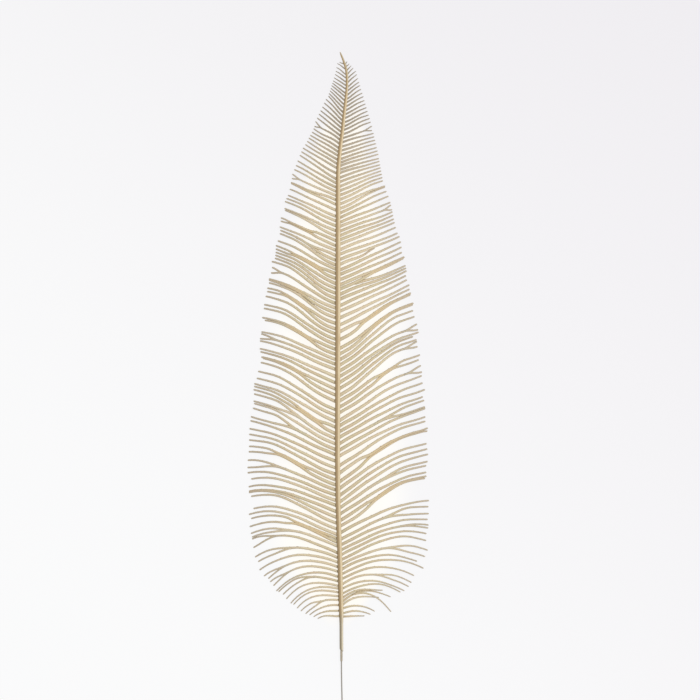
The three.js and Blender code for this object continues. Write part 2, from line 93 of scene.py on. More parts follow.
# Midrib: height, half width, thickness
MIDRIB_SECTION: Table = (
    (-22, 2.35, 4.7), (12, 2.35, 4.8), (24, 2.9, 5.4), (60, 3.1, 5.8), (300, 3.3, 6), (430, 3.3, 5.8),
    (560, 3, 5.2), (690, 1.9, 3.4), (740, 1.1, 2), (755, 0.8, 1.4),
)
# Root height of a leaflet, its width there
LEAF_WIDTH: Table = (
    (20, 2.8), (60, 3.1), (90, 3.8), (150, 4.5), (450, 4.5), (560, 3.7), (640, 3), (700, 2.4), (740, 1.6),
)
# Tufts of leaflets that dried together, from the tip down: number of leaflets, reach and height of the
# upper tip, reach and height of the lower tip, and the shares of the reach between which they cling
# side by side. A tuft that clings from its root is one leaflet, which forks where that ends.
LEFT_TUFTS: Table = (
    (2, 2.7, 742, 5.3, 740.5, 0, 0), (3, 6.4, 735, 8.2, 726, 0, 0), (8, 9.6, 721.5, 17, 698, 0, 0),
    (6, 19.8, 694, 31.6, 669.5, 0, 0), (2, 33.5, 665, 34.8, 659, 0, 0.74),
    (6, 36, 655.5, 46.7, 635, 0, 0), (3, 49.8, 630.5, 54, 621, 0, 0), (3, 56.8, 613.5, 61.2, 602.5, 0, 0),
    (2, 63.6, 596.5, 64, 591, 0, 0.82), (2, 65.5, 586, 65.4, 584, 0.75, 1),
    (1, 67, 576.5, 67, 576.5, 0, 0), (3, 69.3, 569, 73.2, 561, 0, 0), (2, 73.8, 552, 73.2, 549.5, 0, 0),
    (2, 78.5, 539.5, 78.8, 535.5, 0.5, 0.8), (1, 80, 528, 80, 528, 0, 0), (1, 59, 513.5, 59, 513.5, 0, 0),
    (1, 79.4, 523.5, 79.4, 523.5, 0, 0), (1, 80, 519, 80, 519, 0, 0), (1, 82.4, 510, 82.4, 510, 0, 0),
    (2, 85.2, 503.5, 85.2, 499, 0.3, 0.66), (3, 85.2, 495, 86.3, 487, 0, 0),
    (1, 90.3, 483, 90.3, 483, 0, 0), (2, 90, 475.5, 91.3, 468.5, 0, 0.83),
    (2, 94.2, 460.2, 94, 458.4, 0.55, 1), (1, 94.2, 455, 94.2, 455, 0, 0),
    (2, 96.2, 448.5, 96.2, 444, 0.47, 0.7), (1, 98.5, 437.5, 98.5, 437.5, 0, 0),
    (2, 100.2, 427, 100.6, 422, 0, 0), (2, 103, 410, 99.5, 406.5, 0.4, 0.6),
    (1, 103.8, 391.5, 103.8, 391.5, 0, 0), (2, 104.2, 388.5, 105.8, 382.5, 0, 0.76),
    (1, 105.8, 379.5, 105.8, 379.5, 0, 0), (2, 106, 369.5, 105.3, 365.5, 0, 0),
    (2, 104, 358.8, 102, 357, 0.52, 1), (1, 104.8, 351.5, 104.8, 351.5, 0, 0),
    (2, 108, 340.5, 109.7, 331.5, 0, 0), (1, 113.2, 324.3, 113.2, 324.3, 0, 0),
    (2, 113.2, 321, 114, 316.5, 0.25, 0.4), (2, 113.5, 311, 114.1, 301.6, 0, 0.36),
    (1, 113.2, 298.8, 113.2, 298.8, 0, 0), (2, 114.8, 292.5, 117.4, 281.5, 0, 0.4),
    (1, 118.2, 276, 118.2, 276, 0, 0), (3, 119.3, 266, 119.9, 251, 0, 0),
    (2, 119.9, 242.5, 120.2, 235.5, 0.42, 0.64), (2, 121.7, 224.5, 122, 215, 0, 0.59),
    (1, 121.8, 208.5, 121.8, 208.5, 0, 0), (1, 117, 200.5, 117, 200.5, 0, 0),
    (1, 120.5, 190, 120.5, 190, 0, 0), (2, 120, 184, 120, 182.5, 0.75, 1),
    (1, 117.3, 177.5, 117.3, 177.5, 0, 0), (1, 114.2, 162, 114.2, 162, 0, 0),
    (1, 120, 154.5, 120, 154.5, 0, 0), (2, 117.2, 148.5, 119.2, 138.5, 0.2, 0.45),
    (2, 117.5, 129.7, 116, 125, 0, 0.46), (2, 116, 122, 114.3, 111, 0, 0.7),
    (2, 112, 98.7, 107.9, 92.6, 0, 0.5), (1, 106, 82, 106, 82, 0, 0),
    (2, 100.4, 73.7, 94.8, 70.5, 0, 0.71), (2, 92.2, 66.3, 88, 61.5, 0, 0.72),
    (1, 84.4, 55, 84.4, 55, 0, 0), (2, 81.5, 53.3, 75.8, 50, 0, 0.38), (1, 71.6, 44.6, 71.6, 44.6, 0, 0),
    (2, 65.9, 39, 62.3, 37, 0, 0), (1, 57.6, 32.5, 57.6, 32.5, 0, 0),
    (2, 52.4, 28.6, 46.2, 25.2, 0, 0.39), (3, 41.2, 23.1, 30.7, 19, 0, 0),
)
RIGHT_TUFTS: Table = (
    (4, 7.7, 743, 15.6, 734.5, 0, 0), (15, 19, 730.5, 38.4, 664, 0, 0), (2, 40, 658.5, 40, 653, 0, 0.72),
    (7, 41.9, 649.5, 48.4, 622, 0, 0), (8, 49, 617, 54.2, 588, 0, 0),
    (2, 56.8, 582, 56.8, 579.5, 0.85, 1), (2, 58.8, 574, 61.4, 567.5, 0, 0),
    (1, 64, 559.7, 64, 559.7, 0, 0), (2, 64.6, 556.4, 65.9, 550.5, 0, 0.84),
    (4, 66.6, 547.3, 69.2, 533.7, 0, 0), (2, 71.1, 527.2, 73.1, 520, 0, 0),
    (1, 75.7, 515.5, 75.7, 515.5, 0, 0), (1, 43.5, 500.5, 43.5, 500.5, 0, 0),
    (3, 77.6, 508.3, 78.9, 494.7, 0, 0), (2, 82.2, 488.8, 81, 487.3, 0.56, 1),
    (1, 83.5, 477.8, 83.5, 477.8, 0, 0), (2, 84.1, 474.5, 84.8, 470.6, 0, 0),
    (1, 84.1, 464.8, 84.1, 464.8, 0, 0), (1, 85.4, 458.9, 85.4, 458.9, 0, 0),
    (2, 88.7, 452.4, 88.7, 447.2, 0, 0), (2, 90.6, 441.4, 90, 440.8, 0.37, 1),
    (2, 93.9, 428.4, 93, 427.5, 0.5, 0.97), (1, 93.2, 419.3, 93.2, 419.3, 0, 0),
    (1, 95.2, 411.5, 95.2, 411.5, 0, 0), (2, 98.4, 401.7, 99.7, 394.6, 0, 0.83),
    (1, 100.4, 391.3, 100.4, 391.3, 0, 0), (1, 93.2, 385.5, 93.2, 385.5, 0, 0),
    (1, 97.8, 381.6, 97.8, 381.6, 0, 0), (2, 98.4, 379, 99.1, 372.5, 0, 0.81),
    (2, 102.3, 361.8, 100.7, 355.4, 0.55, 0.66), (2, 103.3, 347.9, 104.8, 339.7, 0, 0.82),
    (1, 104.8, 334.4, 104.8, 334.4, 0, 0), (1, 105.6, 325.4, 105.6, 325.4, 0, 0),
    (1, 108.6, 316.8, 108.6, 316.8, 0, 0), (1, 106, 307.4, 106, 307.4, 0, 0),
    (2, 107.8, 302.5, 108.8, 294, 0, 0.44), (1, 109.2, 292, 109.2, 292, 0, 0),
    (1, 109.3, 281.3, 109.3, 281.3, 0, 0), (1, 109.3, 275.6, 109.3, 275.6, 0, 0),
    (2, 112.4, 268, 112, 261, 0.38, 0.92), (3, 110.8, 246.5, 113, 232.2, 0, 0),
    (2, 112.3, 223.2, 110.4, 217.9, 0, 0.36), (1, 110.4, 209.3, 110.4, 209.3, 0, 0),
    (2, 110.8, 204.5, 108.9, 200.7, 0.45, 0.93), (1, 113.8, 172.3, 113.8, 172.3, 0, 0),
    (2, 113.4, 164.5, 113.8, 155.4, 0, 0.44), (1, 112.3, 147.9, 112.3, 147.9, 0, 0),
    (2, 113.4, 140.8, 113, 137, 0, 0.63), (2, 110.8, 129.2, 110.4, 120.5, 0, 0),
    (2, 112.3, 107.8, 108.8, 99.5, 0, 0.49), (1, 98.5, 93.1, 98.5, 93.1, 0, 0),
    (1, 106.9, 84.5, 106.9, 84.5, 0, 0), (1, 94.5, 74.8, 94.5, 74.8, 0, 0),
    (2, 91.3, 65.8, 87.8, 60.4, 0, 0.43), (2, 81.9, 55, 77, 53.6, 0, 0),
)
# The lowest leaflets on the right, some of them tangled: root height, reach and height of the tip,
# slope at the root, slope at the tip
TANGLE: Table = (
    (46, 53.8, 56.2, 0.89, -0.02), (41.2, 64.2, 46.8, 0.92, -0.5), (40.6, 64.9, 27.8, 1, -1.25),
    (36.2, 49, 46.4, 1.05, -0.1), (31.8, 43.3, 28, 0.5, -0.65), (25.8, 38, 24.6, 0.42, -0.4),
    (21.5, 30.3, 22.9, 0.1, 0),
)
# Number of a leaflet, counted down from the tip, and the height of its root
LEFT_ROOTS: Table = (
    (0, 739), (2, 725.5), (9, 692), (13, 671), (19, 640.5), (26, 604), (28, 589.5), (34, 556.5),
    (36, 541), (43, 496.5), (44, 489.5), (48, 466.5), (57, 409), (59, 395), (67, 342.5), (68, 333.5),
    (72, 301), (73, 290.5), (77, 259.5), (81, 232), (84, 206.5), (90, 166), (93, 143), (95, 128),
    (98, 112.5), (99, 104), (106, 61), (107, 57.5), (110, 43), (113, 22),
)
RIGHT_ROOTS: Table = (
    (0, 739), (1, 736), (3, 725.5), (8, 699), (18, 648), (24, 615.5), (28, 597), (36, 551), (40, 527.5),
    (44, 504.5), (49, 471.5), (52, 452.3), (53, 446.5), (54, 445.8), (55, 440), (56, 433.2), (57, 425.2),
    (58, 417.6), (61, 391.5), (62, 381), (63, 369.5), (68, 333), (70, 317.5), (71, 309), (74, 286),
    (75, 276.5), (78, 254.5), (81, 230), (82, 217.5), (83, 208.5), (84, 196.5), (87, 170.5), (92, 131),
    (93, 122), (95, 108), (99, 83), (104, 51),
)
# Height of the root, slope at the root, slope at the tip, usual rise of the tip above the root
LEFT_BEND: Table = (
    (22, 0.05, -0.7, -4), (43, 0.15, -1.1, -15), (60, 0.33, -1.15, -18), (80, 0.42, -1, -14),
    (92, 0.45, -0.75, -9), (110, 0.54, -0.4, 10), (138, 0.42, -0.25, 24), (170, 0.36, -0.25, 26),
    (200, 0.37, 0, 30), (235, 0.46, 0.28, 38), (270, 0.5, 0.28, 37), (300, 0.44, 0.2, 36),
    (370, 0.34, 0.12, 34), (400, 0.36, 0.2, 33), (460, 0.42, 0.38, 32), (548, 0.36, 0.35, 30),
    (596, 0.5, 0.66, 28.5), (624, 0.66, 0.66, 23.5), (642, 0.86, 0.8, 23), (658, 0.76, 0.85, 21.5),
    (678, 0.9, 1.03, 19.5), (698, 0.7, 0.83, 14), (715, 0.53, 0.64, 9.3), (728, 0.48, 0.57, 7),
    (738, 0.48, 0.53, 4),
)
RIGHT_BEND: Table = (
    (50, 0.66, -0.6, 0), (70, 0.66, -0.52, 2), (92, 0.62, -0.34, 10), (112, 0.6, -0.08, 26),
    (134, 0.62, 0.1, 38), (150, 0.68, 0.18, 46), (170, 0.84, 0.2, 52), (200, 0.84, 0.25, 50),
    (220, 0.7, 0.32, 44), (235, 0.64, 0.36, 42), (270, 0.68, 0.42, 42), (320, 0.7, 0.38, 44),
    (350, 0.68, 0.36, 46), (375, 0.54, 0.38, 46), (395, 0.5, 0.52, 46), (450, 0.44, 0.52, 36),
    (541, 0.42, 0.42, 26), (600, 0.4, 0.32, 16), (628, 0.33, 0.29, 12), (655, 0.4, 0.4, 12),
    (690, 0.54, 0.5, 11.5), (705, 0.76, 0.65, 11), (719, 1.05, 0.85, 11), (737, 1.1, 0.85, 6),
)


class Side(Enum):
    """The two sides of the midrib, seen from above with the tip up."""

    LEFT = -1
    RIGHT = 1


def interpolate(table: Table, at: float, column: int = 1) -> float:
    """Reads one column of a table between its rows.

    Args:
        table: Rows whose first column rises.
        at: Where to read, in the first column's units.
        column: Which column to read.

    Returns:
        The value, which stays level past the table's two ends.
    """
    if at <= table[0][0]:
        return table[0][column]
    for low, high in zip(table, table[1:]):
        if at <= high[0]:
            return low[column] + (high[column] - low[column]) * (at - low[0]) / (high[0] - low[0])
    return table[-1][column]


def smoothstep(low: float, high: float, value: float) -> float:
    """Eases from 0 at low to 1 at high."""
    share = min(1.0, max(0.0, (value - low) / (high - low)))
    return share * share * (3 - 2 * share)


def bump(value: float, width: float) -> float:
    """A smooth bump of height 1 at 0 that fades over width."""
    return math.exp(-((value / width) ** 2))


def chance(seed: float) -> float:
    """Gives a repeatable number from 0 to 1 for a seed."""
    value = math.sin(seed * 12.9898 + 4.1414) * 43758.5453
    return value - math.floor(value)


def kept_in_box(point: Vector) -> Vector:
    """Keeps a point of the frame, in metres, inside the box of the solids."""
    low, high = CAD_BOX
    return Vector([min(max(place, least), most) for place, least, most in zip(point, low, high)])


@dataclass
class Surface:
    """Rings of points that become one mesh, with where each point lies on the grown fibres."""

    points: list[Vector] = field(default_factory=list)
    faces: list[tuple[int, ...]] = field(default_factory=list)
    grain: list[Vector] = field(default_factory=list)
    # Per point, marks of the thing's own colour together with painted shade, read by the finishes.
    marks_and_shade: list[Vector] = field(default_factory=list)

    def add_ring(self, ring: list[Vector], grain: list[Vector], marks_and_shade: list[Vector]) -> None:
        """Adds the points of one ring."""
        self.points += ring
        self.grain += grain
        self.marks_and_shade += marks_and_shade

    def skin(self, first: int, rings: int, sides: int, capped: bool = True) -> None:
        """Covers rings that were just added, from one to the next.

        Args:
            first: Index of the first ring's first point.
            rings: How many rings there are.
            sides: How many points each ring has.
            capped: Whether the first and last rings are closed by a face.
        """
        for ring in range(rings - 1):
            low = first + ring * sides
            for side in range(sides):
                next_side = (side + 1) % sides
                self.faces.append((low + side, low + next_side, low + sides + next_side, low + sides + side))
        if capped:
            self.faces.append(tuple(range(first, first + sides)))
            last = first + (rings - 1) * sides
            self.faces.append(tuple(range(last, last + sides)))

    def make(self, name: str, origin: Vector, material: bpy.types.Material) -> bpy.types.Object:
        """Makes the object, with its faces turned outwards.

        Args:
            name: The piece's name.
            origin: Place of the stalk's reference point in the frame, in metres.
            material: The piece's finish.

        Returns:
            The new object, linked to the scene.
        """
        mesh = bpy.data.meshes.new(name)
        mesh.from_pydata([kept_in_box(origin + point * MM) for point in self.points], [], self.faces)
        for label, values in (("grain", self.grain), ("marks_and_shade", self.marks_and_shade)):
            attribute = mesh.attributes.new(label, "FLOAT_VECTOR", "POINT")
            attribute.data.foreach_set("vector", [number for value in values for number in value])
        work = bmesh.new()
        work.from_mesh(mesh)
        bmesh.ops.recalc_face_normals(work, faces=work.faces[:])
        work.to_mesh(mesh)
        work.free()
        mesh.shade_smooth()
        mesh.materials.append(material)
        piece = bpy.data.objects.new(name, mesh)
        bpy.context.scene.collection.objects.link(piece)
        return piece


def declare(piece: bpy.types.Object, node: str) -> None:
    """Lets a piece that stands for a node move with the one body, hides the node's solid and logs its faces.
    """
    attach(piece, "root")
    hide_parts(node)
    log.info("%s: %d faces", piece.name, len(piece.data.polygons))


class Shader:
    """A material whose nodes are added by short calls."""

    def __init__(self, name: str) -> None:
        """Starts an empty material of this name."""
        self.material = bpy.data.materials.new(name)
        self.material.use_nodes = True
        self.tree = self.material.node_tree
        self.tree.nodes.clear()

    def node(self, kind: str, **settings: object) -> bpy.types.Node:
        """Adds a node of a kind, with its settings."""
        node = self.tree.nodes.new("ShaderNode" + kind)
        for setting, value in settings.items():
            setattr(node, setting, value)
        return node

    def feed(self, node: bpy.types.Node, **inputs: object) -> bpy.types.Node:
        """Fills inputs from sockets or plain values, by name (with _ for a space) or as i0, i1 …"""
        for name, value in inputs.items():
            numbered = name[0] == "i" and name[1:].isdigit()
            socket = node.inputs[int(name[1:]) if numbered else name.replace("_", " ")]
            if isinstance(value, bpy.types.NodeSocket):
                self.tree.links.new(value, socket)
            else:
                socket.default_value = value
        return node

    def attribute(self, name: str) -> bpy.types.NodeSocket:
        """Reads a vector kept on the mesh."""
        return self.node("Attribute", attribute_name=name).outputs["Vector"]

    def parts(self, vector: bpy.types.NodeSocket) -> list[bpy.types.NodeSocket]:
        """Splits a vector into its three numbers."""
        return list(self.feed(self.node("SeparateXYZ"), Vector=vector).outputs)

    def maths(self, operation: str, first: object, second: object = 0.0) -> bpy.types.NodeSocket:
        """Works out one sum of two numbers."""
        return self.feed(self.node("Math", operation=operation), i0=first, i1=second).outputs[0]

    def line(self, value: object, slope: float, start: float) -> bpy.types.NodeSocket:
        """Works out a number times a slope, from a start."""
        node = self.node("Math", operation="MULTIPLY_ADD")
        return self.feed(node, i0=value, i1=slope, i2=start).outputs[0]

    def spread(self, value: object, low: float, high: float) -> bpy.types.NodeSocket:
        """Eases a number from 0 at low to 1 at high."""
        node = self.node("MapRange", interpolation_type="SMOOTHSTEP")
        return self.feed(node, Value=value, From_Min=low, From_Max=high).outputs["Result"]

    def noise(self, vector: bpy.types.NodeSocket, stretch: Waves, detail: float = 2.0,
              shift: float = 0.0) -> bpy.types.NodeSocket:
        """Gives noise over a stretched vector.

        Args:
            vector: Where each point lies.
            stretch: How many waves a unit of each of its numbers holds.
            detail: How many finer layers the noise has.
            shift: Where the noise starts, so that two noises differ.

        Returns:
            The socket with the noise, around 0.5.
        """
        place = self.feed(self.node("Mapping"), Vector=vector, Scale=stretch, Location=(shift, shift, shift))
        noise = self.feed(self.node("TexNoise"), Vector=place.outputs[0], Scale=1.0, Detail=detail)
        return noise.outputs["Fac"]

    def mix(self, share: object, first: object, second: object) -> bpy.types.NodeSocket:
        """Mixes two colours."""
        node = self.node("Mix", data_type="RGBA")
        return self.feed(node, i0=share, i6=first, i7=second).outputs[2]

    def tint(self, colour: object, target: object, where: object, most: float) -> bpy.types.NodeSocket:
        """Mixes a target colour into a colour, by a number from 0 to 1 and up to a largest share."""
        return self.mix(self.maths("MULTIPLY", where, most), colour, target)

    def relief(self, height: bpy.types.NodeSocket, strength: float, depth: float) -> bpy.types.NodeSocket:
        """Raises the finish by a height from 0 to 1, over a depth in metres."""
        return self.feed(self.node("Bump"), Strength=strength, Distance=depth, Height=height).outputs[0]

    def surface(self, shader: bpy.types.NodeSocket) -> bpy.types.Material:
        """Sets the material's surface and returns the material."""
        self.feed(self.node("OutputMaterial"), Surface=shader)
        return self.material


@dataclass(frozen=True)
class LeafFinish:
    """Thin dry leaflet: straw with fibres and a paler vein, greyer at its tip, tan painted shade where
    leaflets cling, and root marks that are partly painted shadow.
    """

    straw: Colour = (0.59, 0.52, 0.37, 1)
    pale: Colour = (0.68, 0.605, 0.455, 1)
    tan: Colour = (0.54, 0.425, 0.28, 1)
    green: Colour = (0.51, 0.475, 0.285, 1)
    tip: Colour = (0.40, 0.35, 0.28, 1)
    old: Colour = (0.30, 0.265, 0.21, 1)
    clung_shade: Colour = (0.62, 0.475, 0.26, 1)
    stain_and_shadow: Colour = (0.17, 0.105, 0.05, 1)
    through: Colour = (0.80, 0.60, 0.36, 1)
    straw_share: float = 0.54
    pale_share: float = 0.5
    clung_shade_share: float = 0.55
    fibre_share: float = 0.45
    vein_share: float = 0.35
    tip_share: float = 0.6
    old_share: float = 0.75
    fibre_waves: Waves = (0.05, 5.0, 31.0)
    patch_waves: Waves = (0.045, 0.12, 17.0)
    speck_waves: Waves = (0.35, 0.9, 23.0)
    fibre_depth: float = 0.00012
    translucency: float = 0.3
    smoothest: float = 0.48
    gloss: float = 0.3

    def make(self, name: str) -> bpy.types.Material:
        """Builds the material under this name."""
        s = Shader(name)
        grain = s.attribute("grain")
        along, tone_and_cling_shade, stain_and_shadow = s.parts(s.attribute("marks_and_shade"))
        across = s.parts(grain)[1]
        fibres = s.noise(grain, self.fibre_waves, detail=3.0)
        patches = s.noise(grain, self.patch_waves, detail=2.0, shift=5.0)
        colour = s.mix(s.spread(patches, 0.35, 0.68), self.green, self.tan)
        colour = s.mix(self.straw_share, colour, self.straw)
        colour = s.tint(colour, self.pale, s.spread(tone_and_cling_shade, 0.3, 1.0), self.pale_share)
        # Painted shade: clinging stretches turn tan, for the deeper colour that light takes through two
        # layers.
        colour = s.tint(colour, self.clung_shade, s.spread(tone_and_cling_shade, 0.0, -1.0), self.clung_shade_share)
        colour = s.tint(colour, self.tan, s.spread(fibres, 0.42, 0.72), self.fibre_share)
        vein = s.spread(s.maths("ABSOLUTE", across), 0.42, 0.12)
        colour = s.tint(colour, self.pale, vein, self.vein_share)
        colour = s.tint(colour, self.tip, s.spread(along, 0.45, 1.0), self.tip_share)
        colour = s.tint(colour, self.old, s.spread(along, 1.0, 1.35), self.old_share)
        specks = s.spread(s.noise(grain, self.speck_waves, detail=1.0, shift=9.0), 0.76, 0.82)
        # Dark specks, tooth stains and root marks; the root marks on the left are partly painted shadow.
        colour = s.mix(s.maths("MAXIMUM", specks, stain_and_shadow), colour, self.stain_and_shadow)
        relief = s.relief(fibres, 0.45, self.fibre_depth)
        rough = s.line(fibres, 0.3, self.smoothest)
        body = s.feed(s.node("BsdfPrincipled"), Base_Color=colour, Roughness=rough, Normal=relief)
        body.inputs["Specular IOR Level"].default_value = self.gloss
        glow = s.feed(s.node("BsdfTranslucent"), Color=s.mix(0.5, colour, self.through), Normal=relief)
        both = s.feed(s.node("MixShader"), i0=self.translucency, i1=body.outputs[0], i2=glow.outputs[0])
        return s.surface(both.outputs[0])


@dataclass(frozen=True)
class MidribFinish:
    """Woody midrib: pale straw with long streaks and faint brown patches, with painted shade on its left
    flank, away from the light, and by the leaflets' knobs a mark that is partly brown stain and partly
    painted shadow.
    """

    pale: Colour = (0.53, 0.44, 0.29, 1)
    straw: Colour = (0.46, 0.365, 0.225, 1)
    brown: Colour = (0.27, 0.185, 0.09, 1)
    dark: Colour = (0.13, 0.095, 0.05, 1)
    stalk_flank_shade: Colour = (0.20, 0.165, 0.105, 1)
    patch: Colour = (0.40, 0.285, 0.155, 1)
    pith: Colour = (0.56, 0.475, 0.33, 1)
    bare: Colour = (0.46, 0.42, 0.33, 1)
    shoot: Colour = (0.30, 0.27, 0.18, 1)
    shoot_from: float = 700.0
    shoot_full: float = 748.0
    stalk_top: float = 36.0
    stalk_full: float = 10.0
    shoot_share: float = 0.6
    bare_share: float = 0.75
    patch_share: float = 0.7
    fibre_share: float = 0.3
    flank_shade_share: float = 0.88
    knob_stain_shadow_share: float = 0.7
    streak_waves: Waves = (0.02, 1.6, 1.0)
    fibre_waves: Waves = (0.08, 7.0, 1.0)
    patch_waves: Waves = (0.03, 0.16, 1.0)
    streak_depth: float = 0.0003
    gloss: float = 0.35

    def make(self, name: str) -> bpy.types.Material:
        """Builds the material under this name."""
        s = Shader(name)
        grain = s.attribute("grain")
        flank, knob_stain_shadow, cut = s.parts(s.attribute("marks_and_shade"))
        streaks = s.noise(grain, self.streak_waves, detail=4.0)
        fibres = s.noise(grain, self.fibre_waves, detail=3.0, shift=3.0)
        patches = s.noise(grain, self.patch_waves, detail=3.0, shift=8.0)
        colour = s.mix(s.spread(streaks, 0.36, 0.66), self.pale, self.straw)
        height = s.parts(grain)[0]
        young = s.spread(height, self.shoot_from, self.shoot_full)
        colour = s.tint(colour, self.shoot, young, self.shoot_share)
        stalk = s.spread(height, self.stalk_top, self.stalk_full)
        colour = s.tint(colour, self.bare, stalk, self.bare_share)
        colour = s.tint(colour, self.patch, s.spread(patches, 0.5, 0.72), self.patch_share)
        colour = s.tint(colour, self.brown, s.spread(fibres, 0.5, 0.75), self.fibre_share)
        # Painted shade: the left flank, away from the light, is darkened in brown on the midrib and in umber
        # on the stalk.
        brown = s.mix(stalk, self.brown, self.stalk_flank_shade)
        edge = s.maths("ADD", flank, s.maths("MULTIPLY", s.maths("SUBTRACT", streaks, 0.5), 0.25))
        colour = s.tint(colour, brown, s.spread(edge, 0.3, 0.52), self.flank_shade_share)
        # Partly brown stain and partly painted shadow where the leaflets' knobs meet the midrib.
        colour = s.tint(colour, self.dark, knob_stain_shadow, self.knob_stain_shadow_share)
        colour = s.mix(cut, colour, self.pith)
        heights = s.maths("ADD", s.maths("MULTIPLY", streaks, 0.6), s.maths("MULTIPLY", fibres, 0.4))
        relief = s.relief(heights, 0.5, self.streak_depth)
        body = s.feed(s.node("BsdfPrincipled"), Base_Color=colour, Normal=relief)
        s.feed(body, Roughness=s.spread(fibres, -0.6, 1.1))
        body.inputs["Specular IOR Level"].default_value = self.gloss
        return s.surface(body.outputs[0])


@dataclass(frozen=True)
class WireFinish:
    """Grey drawn steel wire, dulled, with long scratches and warm oxide."""

    steel: Colour = (0.27, 0.25, 0.215, 1)
    oxide: Colour = (0.22, 0.19, 0.15, 1)
    oxide_share: float = 0.6
    scratch_waves: Waves = (0.06, 9.0, 1.0)
    bloom_waves: Waves = (0.12, 0.7, 1.0)
    scratch_depth: float = 0.00005
    metal: float = 0.4

    def make(self, name: str) -> bpy.types.Material:
        """Builds the material under this name."""
        s = Shader(name)
        grain = s.attribute("grain")
        scratches = s.noise(grain, self.scratch_waves, detail=4.0)
        bloom = s.noise(grain, self.bloom_waves, detail=3.0, shift=4.0)
        colour = s.tint(self.steel, self.oxide, s.spread(bloom, 0.52, 0.75), self.oxide_share)
        relief = s.relief(scratches, 0.25, self.scratch_depth)
        body = s.feed(s.node("BsdfPrincipled"), Base_Color=colour, Metallic=self.metal, Normal=relief)
        s.feed(body, Roughness=s.spread(scratches, -0.35, 1.2))
        return s.surface(body.outputs[0])


@dataclass(frozen=True)
class TapeFinish:
    """Crinkled paper tape in a faded brown, with painted shade in its crinkles and where its turns overlap.
    """

    paper: Colour = (0.34, 0.295, 0.225, 1)
    shade: Colour = (0.16, 0.135, 0.10, 1)
    crinkle_share: float = 0.5
    lap_share: float = 0.6
    crinkle_waves: Waves = (1.6, 0.7, 1.0)
    fibre_waves: Waves = (6.0, 2.0, 1.0)
    crinkle_depth: float = 0.00012
    gloss: float = 0.2

    def make(self, name: str) -> bpy.types.Material:
        """Builds the material under this name."""
        s = Shader(name)
        grain = s.attribute("grain")
        lap = s.parts(s.attribute("marks_and_shade"))[0]
        crinkle = s.noise(grain, self.crinkle_waves, detail=5.0)
        fibres = s.noise(grain, self.fibre_waves, detail=3.0, shift=2.0)
        colour = s.tint(self.paper, self.shade, s.spread(crinkle, 0.4, 0.7), self.crinkle_share)
        colour = s.tint(colour, self.shade, s.spread(lap, 0.8, 1.0), self.lap_share)
        relief = s.relief(crinkle, 0.6, self.crinkle_depth)
        body = s.feed(s.node("BsdfPrincipled"), Base_Color=colour, Normal=relief)
        s.feed(body, Roughness=s.spread(fibres, -1.2, 0.9))
        body.inputs["Specular IOR Level"].default_value = self.gloss
        return s.surface(body.outputs[0])


@dataclass(frozen=True)
class FloorFinish:
    """Pale floor that glows, as no real floor does, so that the frond casts hardly a shadow; the glow is
    painted dimmer towards the far corner and brighter and warmer where it shows between the leaflets.
    """

    paint: Colour = (0.85, 0.85, 0.86, 1)
    near: Colour = (0.952, 0.953, 0.955, 1)
    far: Colour = (0.815, 0.794, 0.824, 1)
    near_corner: float = -0.8
    far_corner: float = 1.37
    warm: Colour = (1.03, 0.98, 0.895, 1)
    warm_outside: Colour = (0.995, 0.98, 0.95, 1)
    outside: float = 0.09
    widest: float = 0.113
    narrowest: float = 0.002
    taper_slope: float = -0.33
    taper_start: float = 0.251
    foot_slope: float = 0.95
    foot_start: float = 0.008
    foot_full: float = 0.05
    tip_out: float = 0.735
    tip_full: float = 0.63
    edge: float = 0.95
    edge_full: float = 0.5
    off_middle: float = -0.004
    bend: float = 0.011
    bend_from: float = 0.6
    bend_full: float = 0.7
    glow: float = 0.93

    def make(self, name: str, origin: Vector) -> bpy.types.Material:
        """Builds the material under this name.

        Args:
            name: The material's name.
            origin: Place of the stalk's reference point in the frame, in metres.

        Returns:
            The material.
        """
        s = Shader(name)
        paint = s.feed(s.node("BsdfDiffuse"), Color=self.paint)
        place = s.parts(s.node("TexCoord").outputs["Object"])
        # Painted falloff of light: the glow dims from the near corner to the far one.
        corner = s.maths("ADD", place[0], place[1])
        shade = s.mix(s.spread(corner, self.near_corner, self.far_corner), self.near, self.far)
        height = s.maths("SUBTRACT", place[1], origin.y)
        bend = s.maths("MULTIPLY", s.spread(height, self.bend_from, self.bend_full), self.bend)
        middle = s.maths("ADD", bend, origin.x + self.off_middle)
        beside = s.maths("ABSOLUTE", s.maths("SUBTRACT", place[0], middle))
        # Painted pool of light: the glow is brighter and warmer under the frond, where it shows between the
        # leaflets.
        warm = s.mix(s.spread(beside, 0.0, self.outside), self.warm, self.warm_outside)
        shade = s.mix(self.under_frond(s, height, beside), shade, warm)
        glow = s.feed(s.node("Emission"), Color=shade, Strength=1.0)
        both = s.feed(s.node("MixShader"), i0=self.glow, i1=paint.outputs[0], i2=glow.outputs[0])
        return s.surface(both.outputs[0])

    def under_frond(self, s: Shader, height: bpy.types.NodeSocket,
                    beside: bpy.types.NodeSocket) -> bpy.types.NodeSocket:
        """Finds how far a place lies under the frond, whose outline narrows to the tip and to the stalk.

        Args:
            s: The material that the nodes go into.
            height: Height of the place up the frond, in metres.
            beside: Its distance from the midrib, in metres.

        Returns:
            The socket, 1 well under the frond and 0 outside it.
        """
        taper = s.line(height, self.taper_slope, self.taper_start)
        foot = s.line(height, self.foot_slope, self.foot_start)
        reach = s.maths("MINIMUM", s.maths("MINIMUM", taper, foot), self.widest)
        outward = s.maths("DIVIDE", beside, s.maths("MAXIMUM", reach, self.narrowest))
        low_end = s.spread(height, 0.0, self.foot_full)
        ends = s.maths("MULTIPLY", low_end, s.spread(height, self.tip_out, self.tip_full))
        return s.maths("MULTIPLY", s.spread(outward, self.edge, self.edge_full), ends)


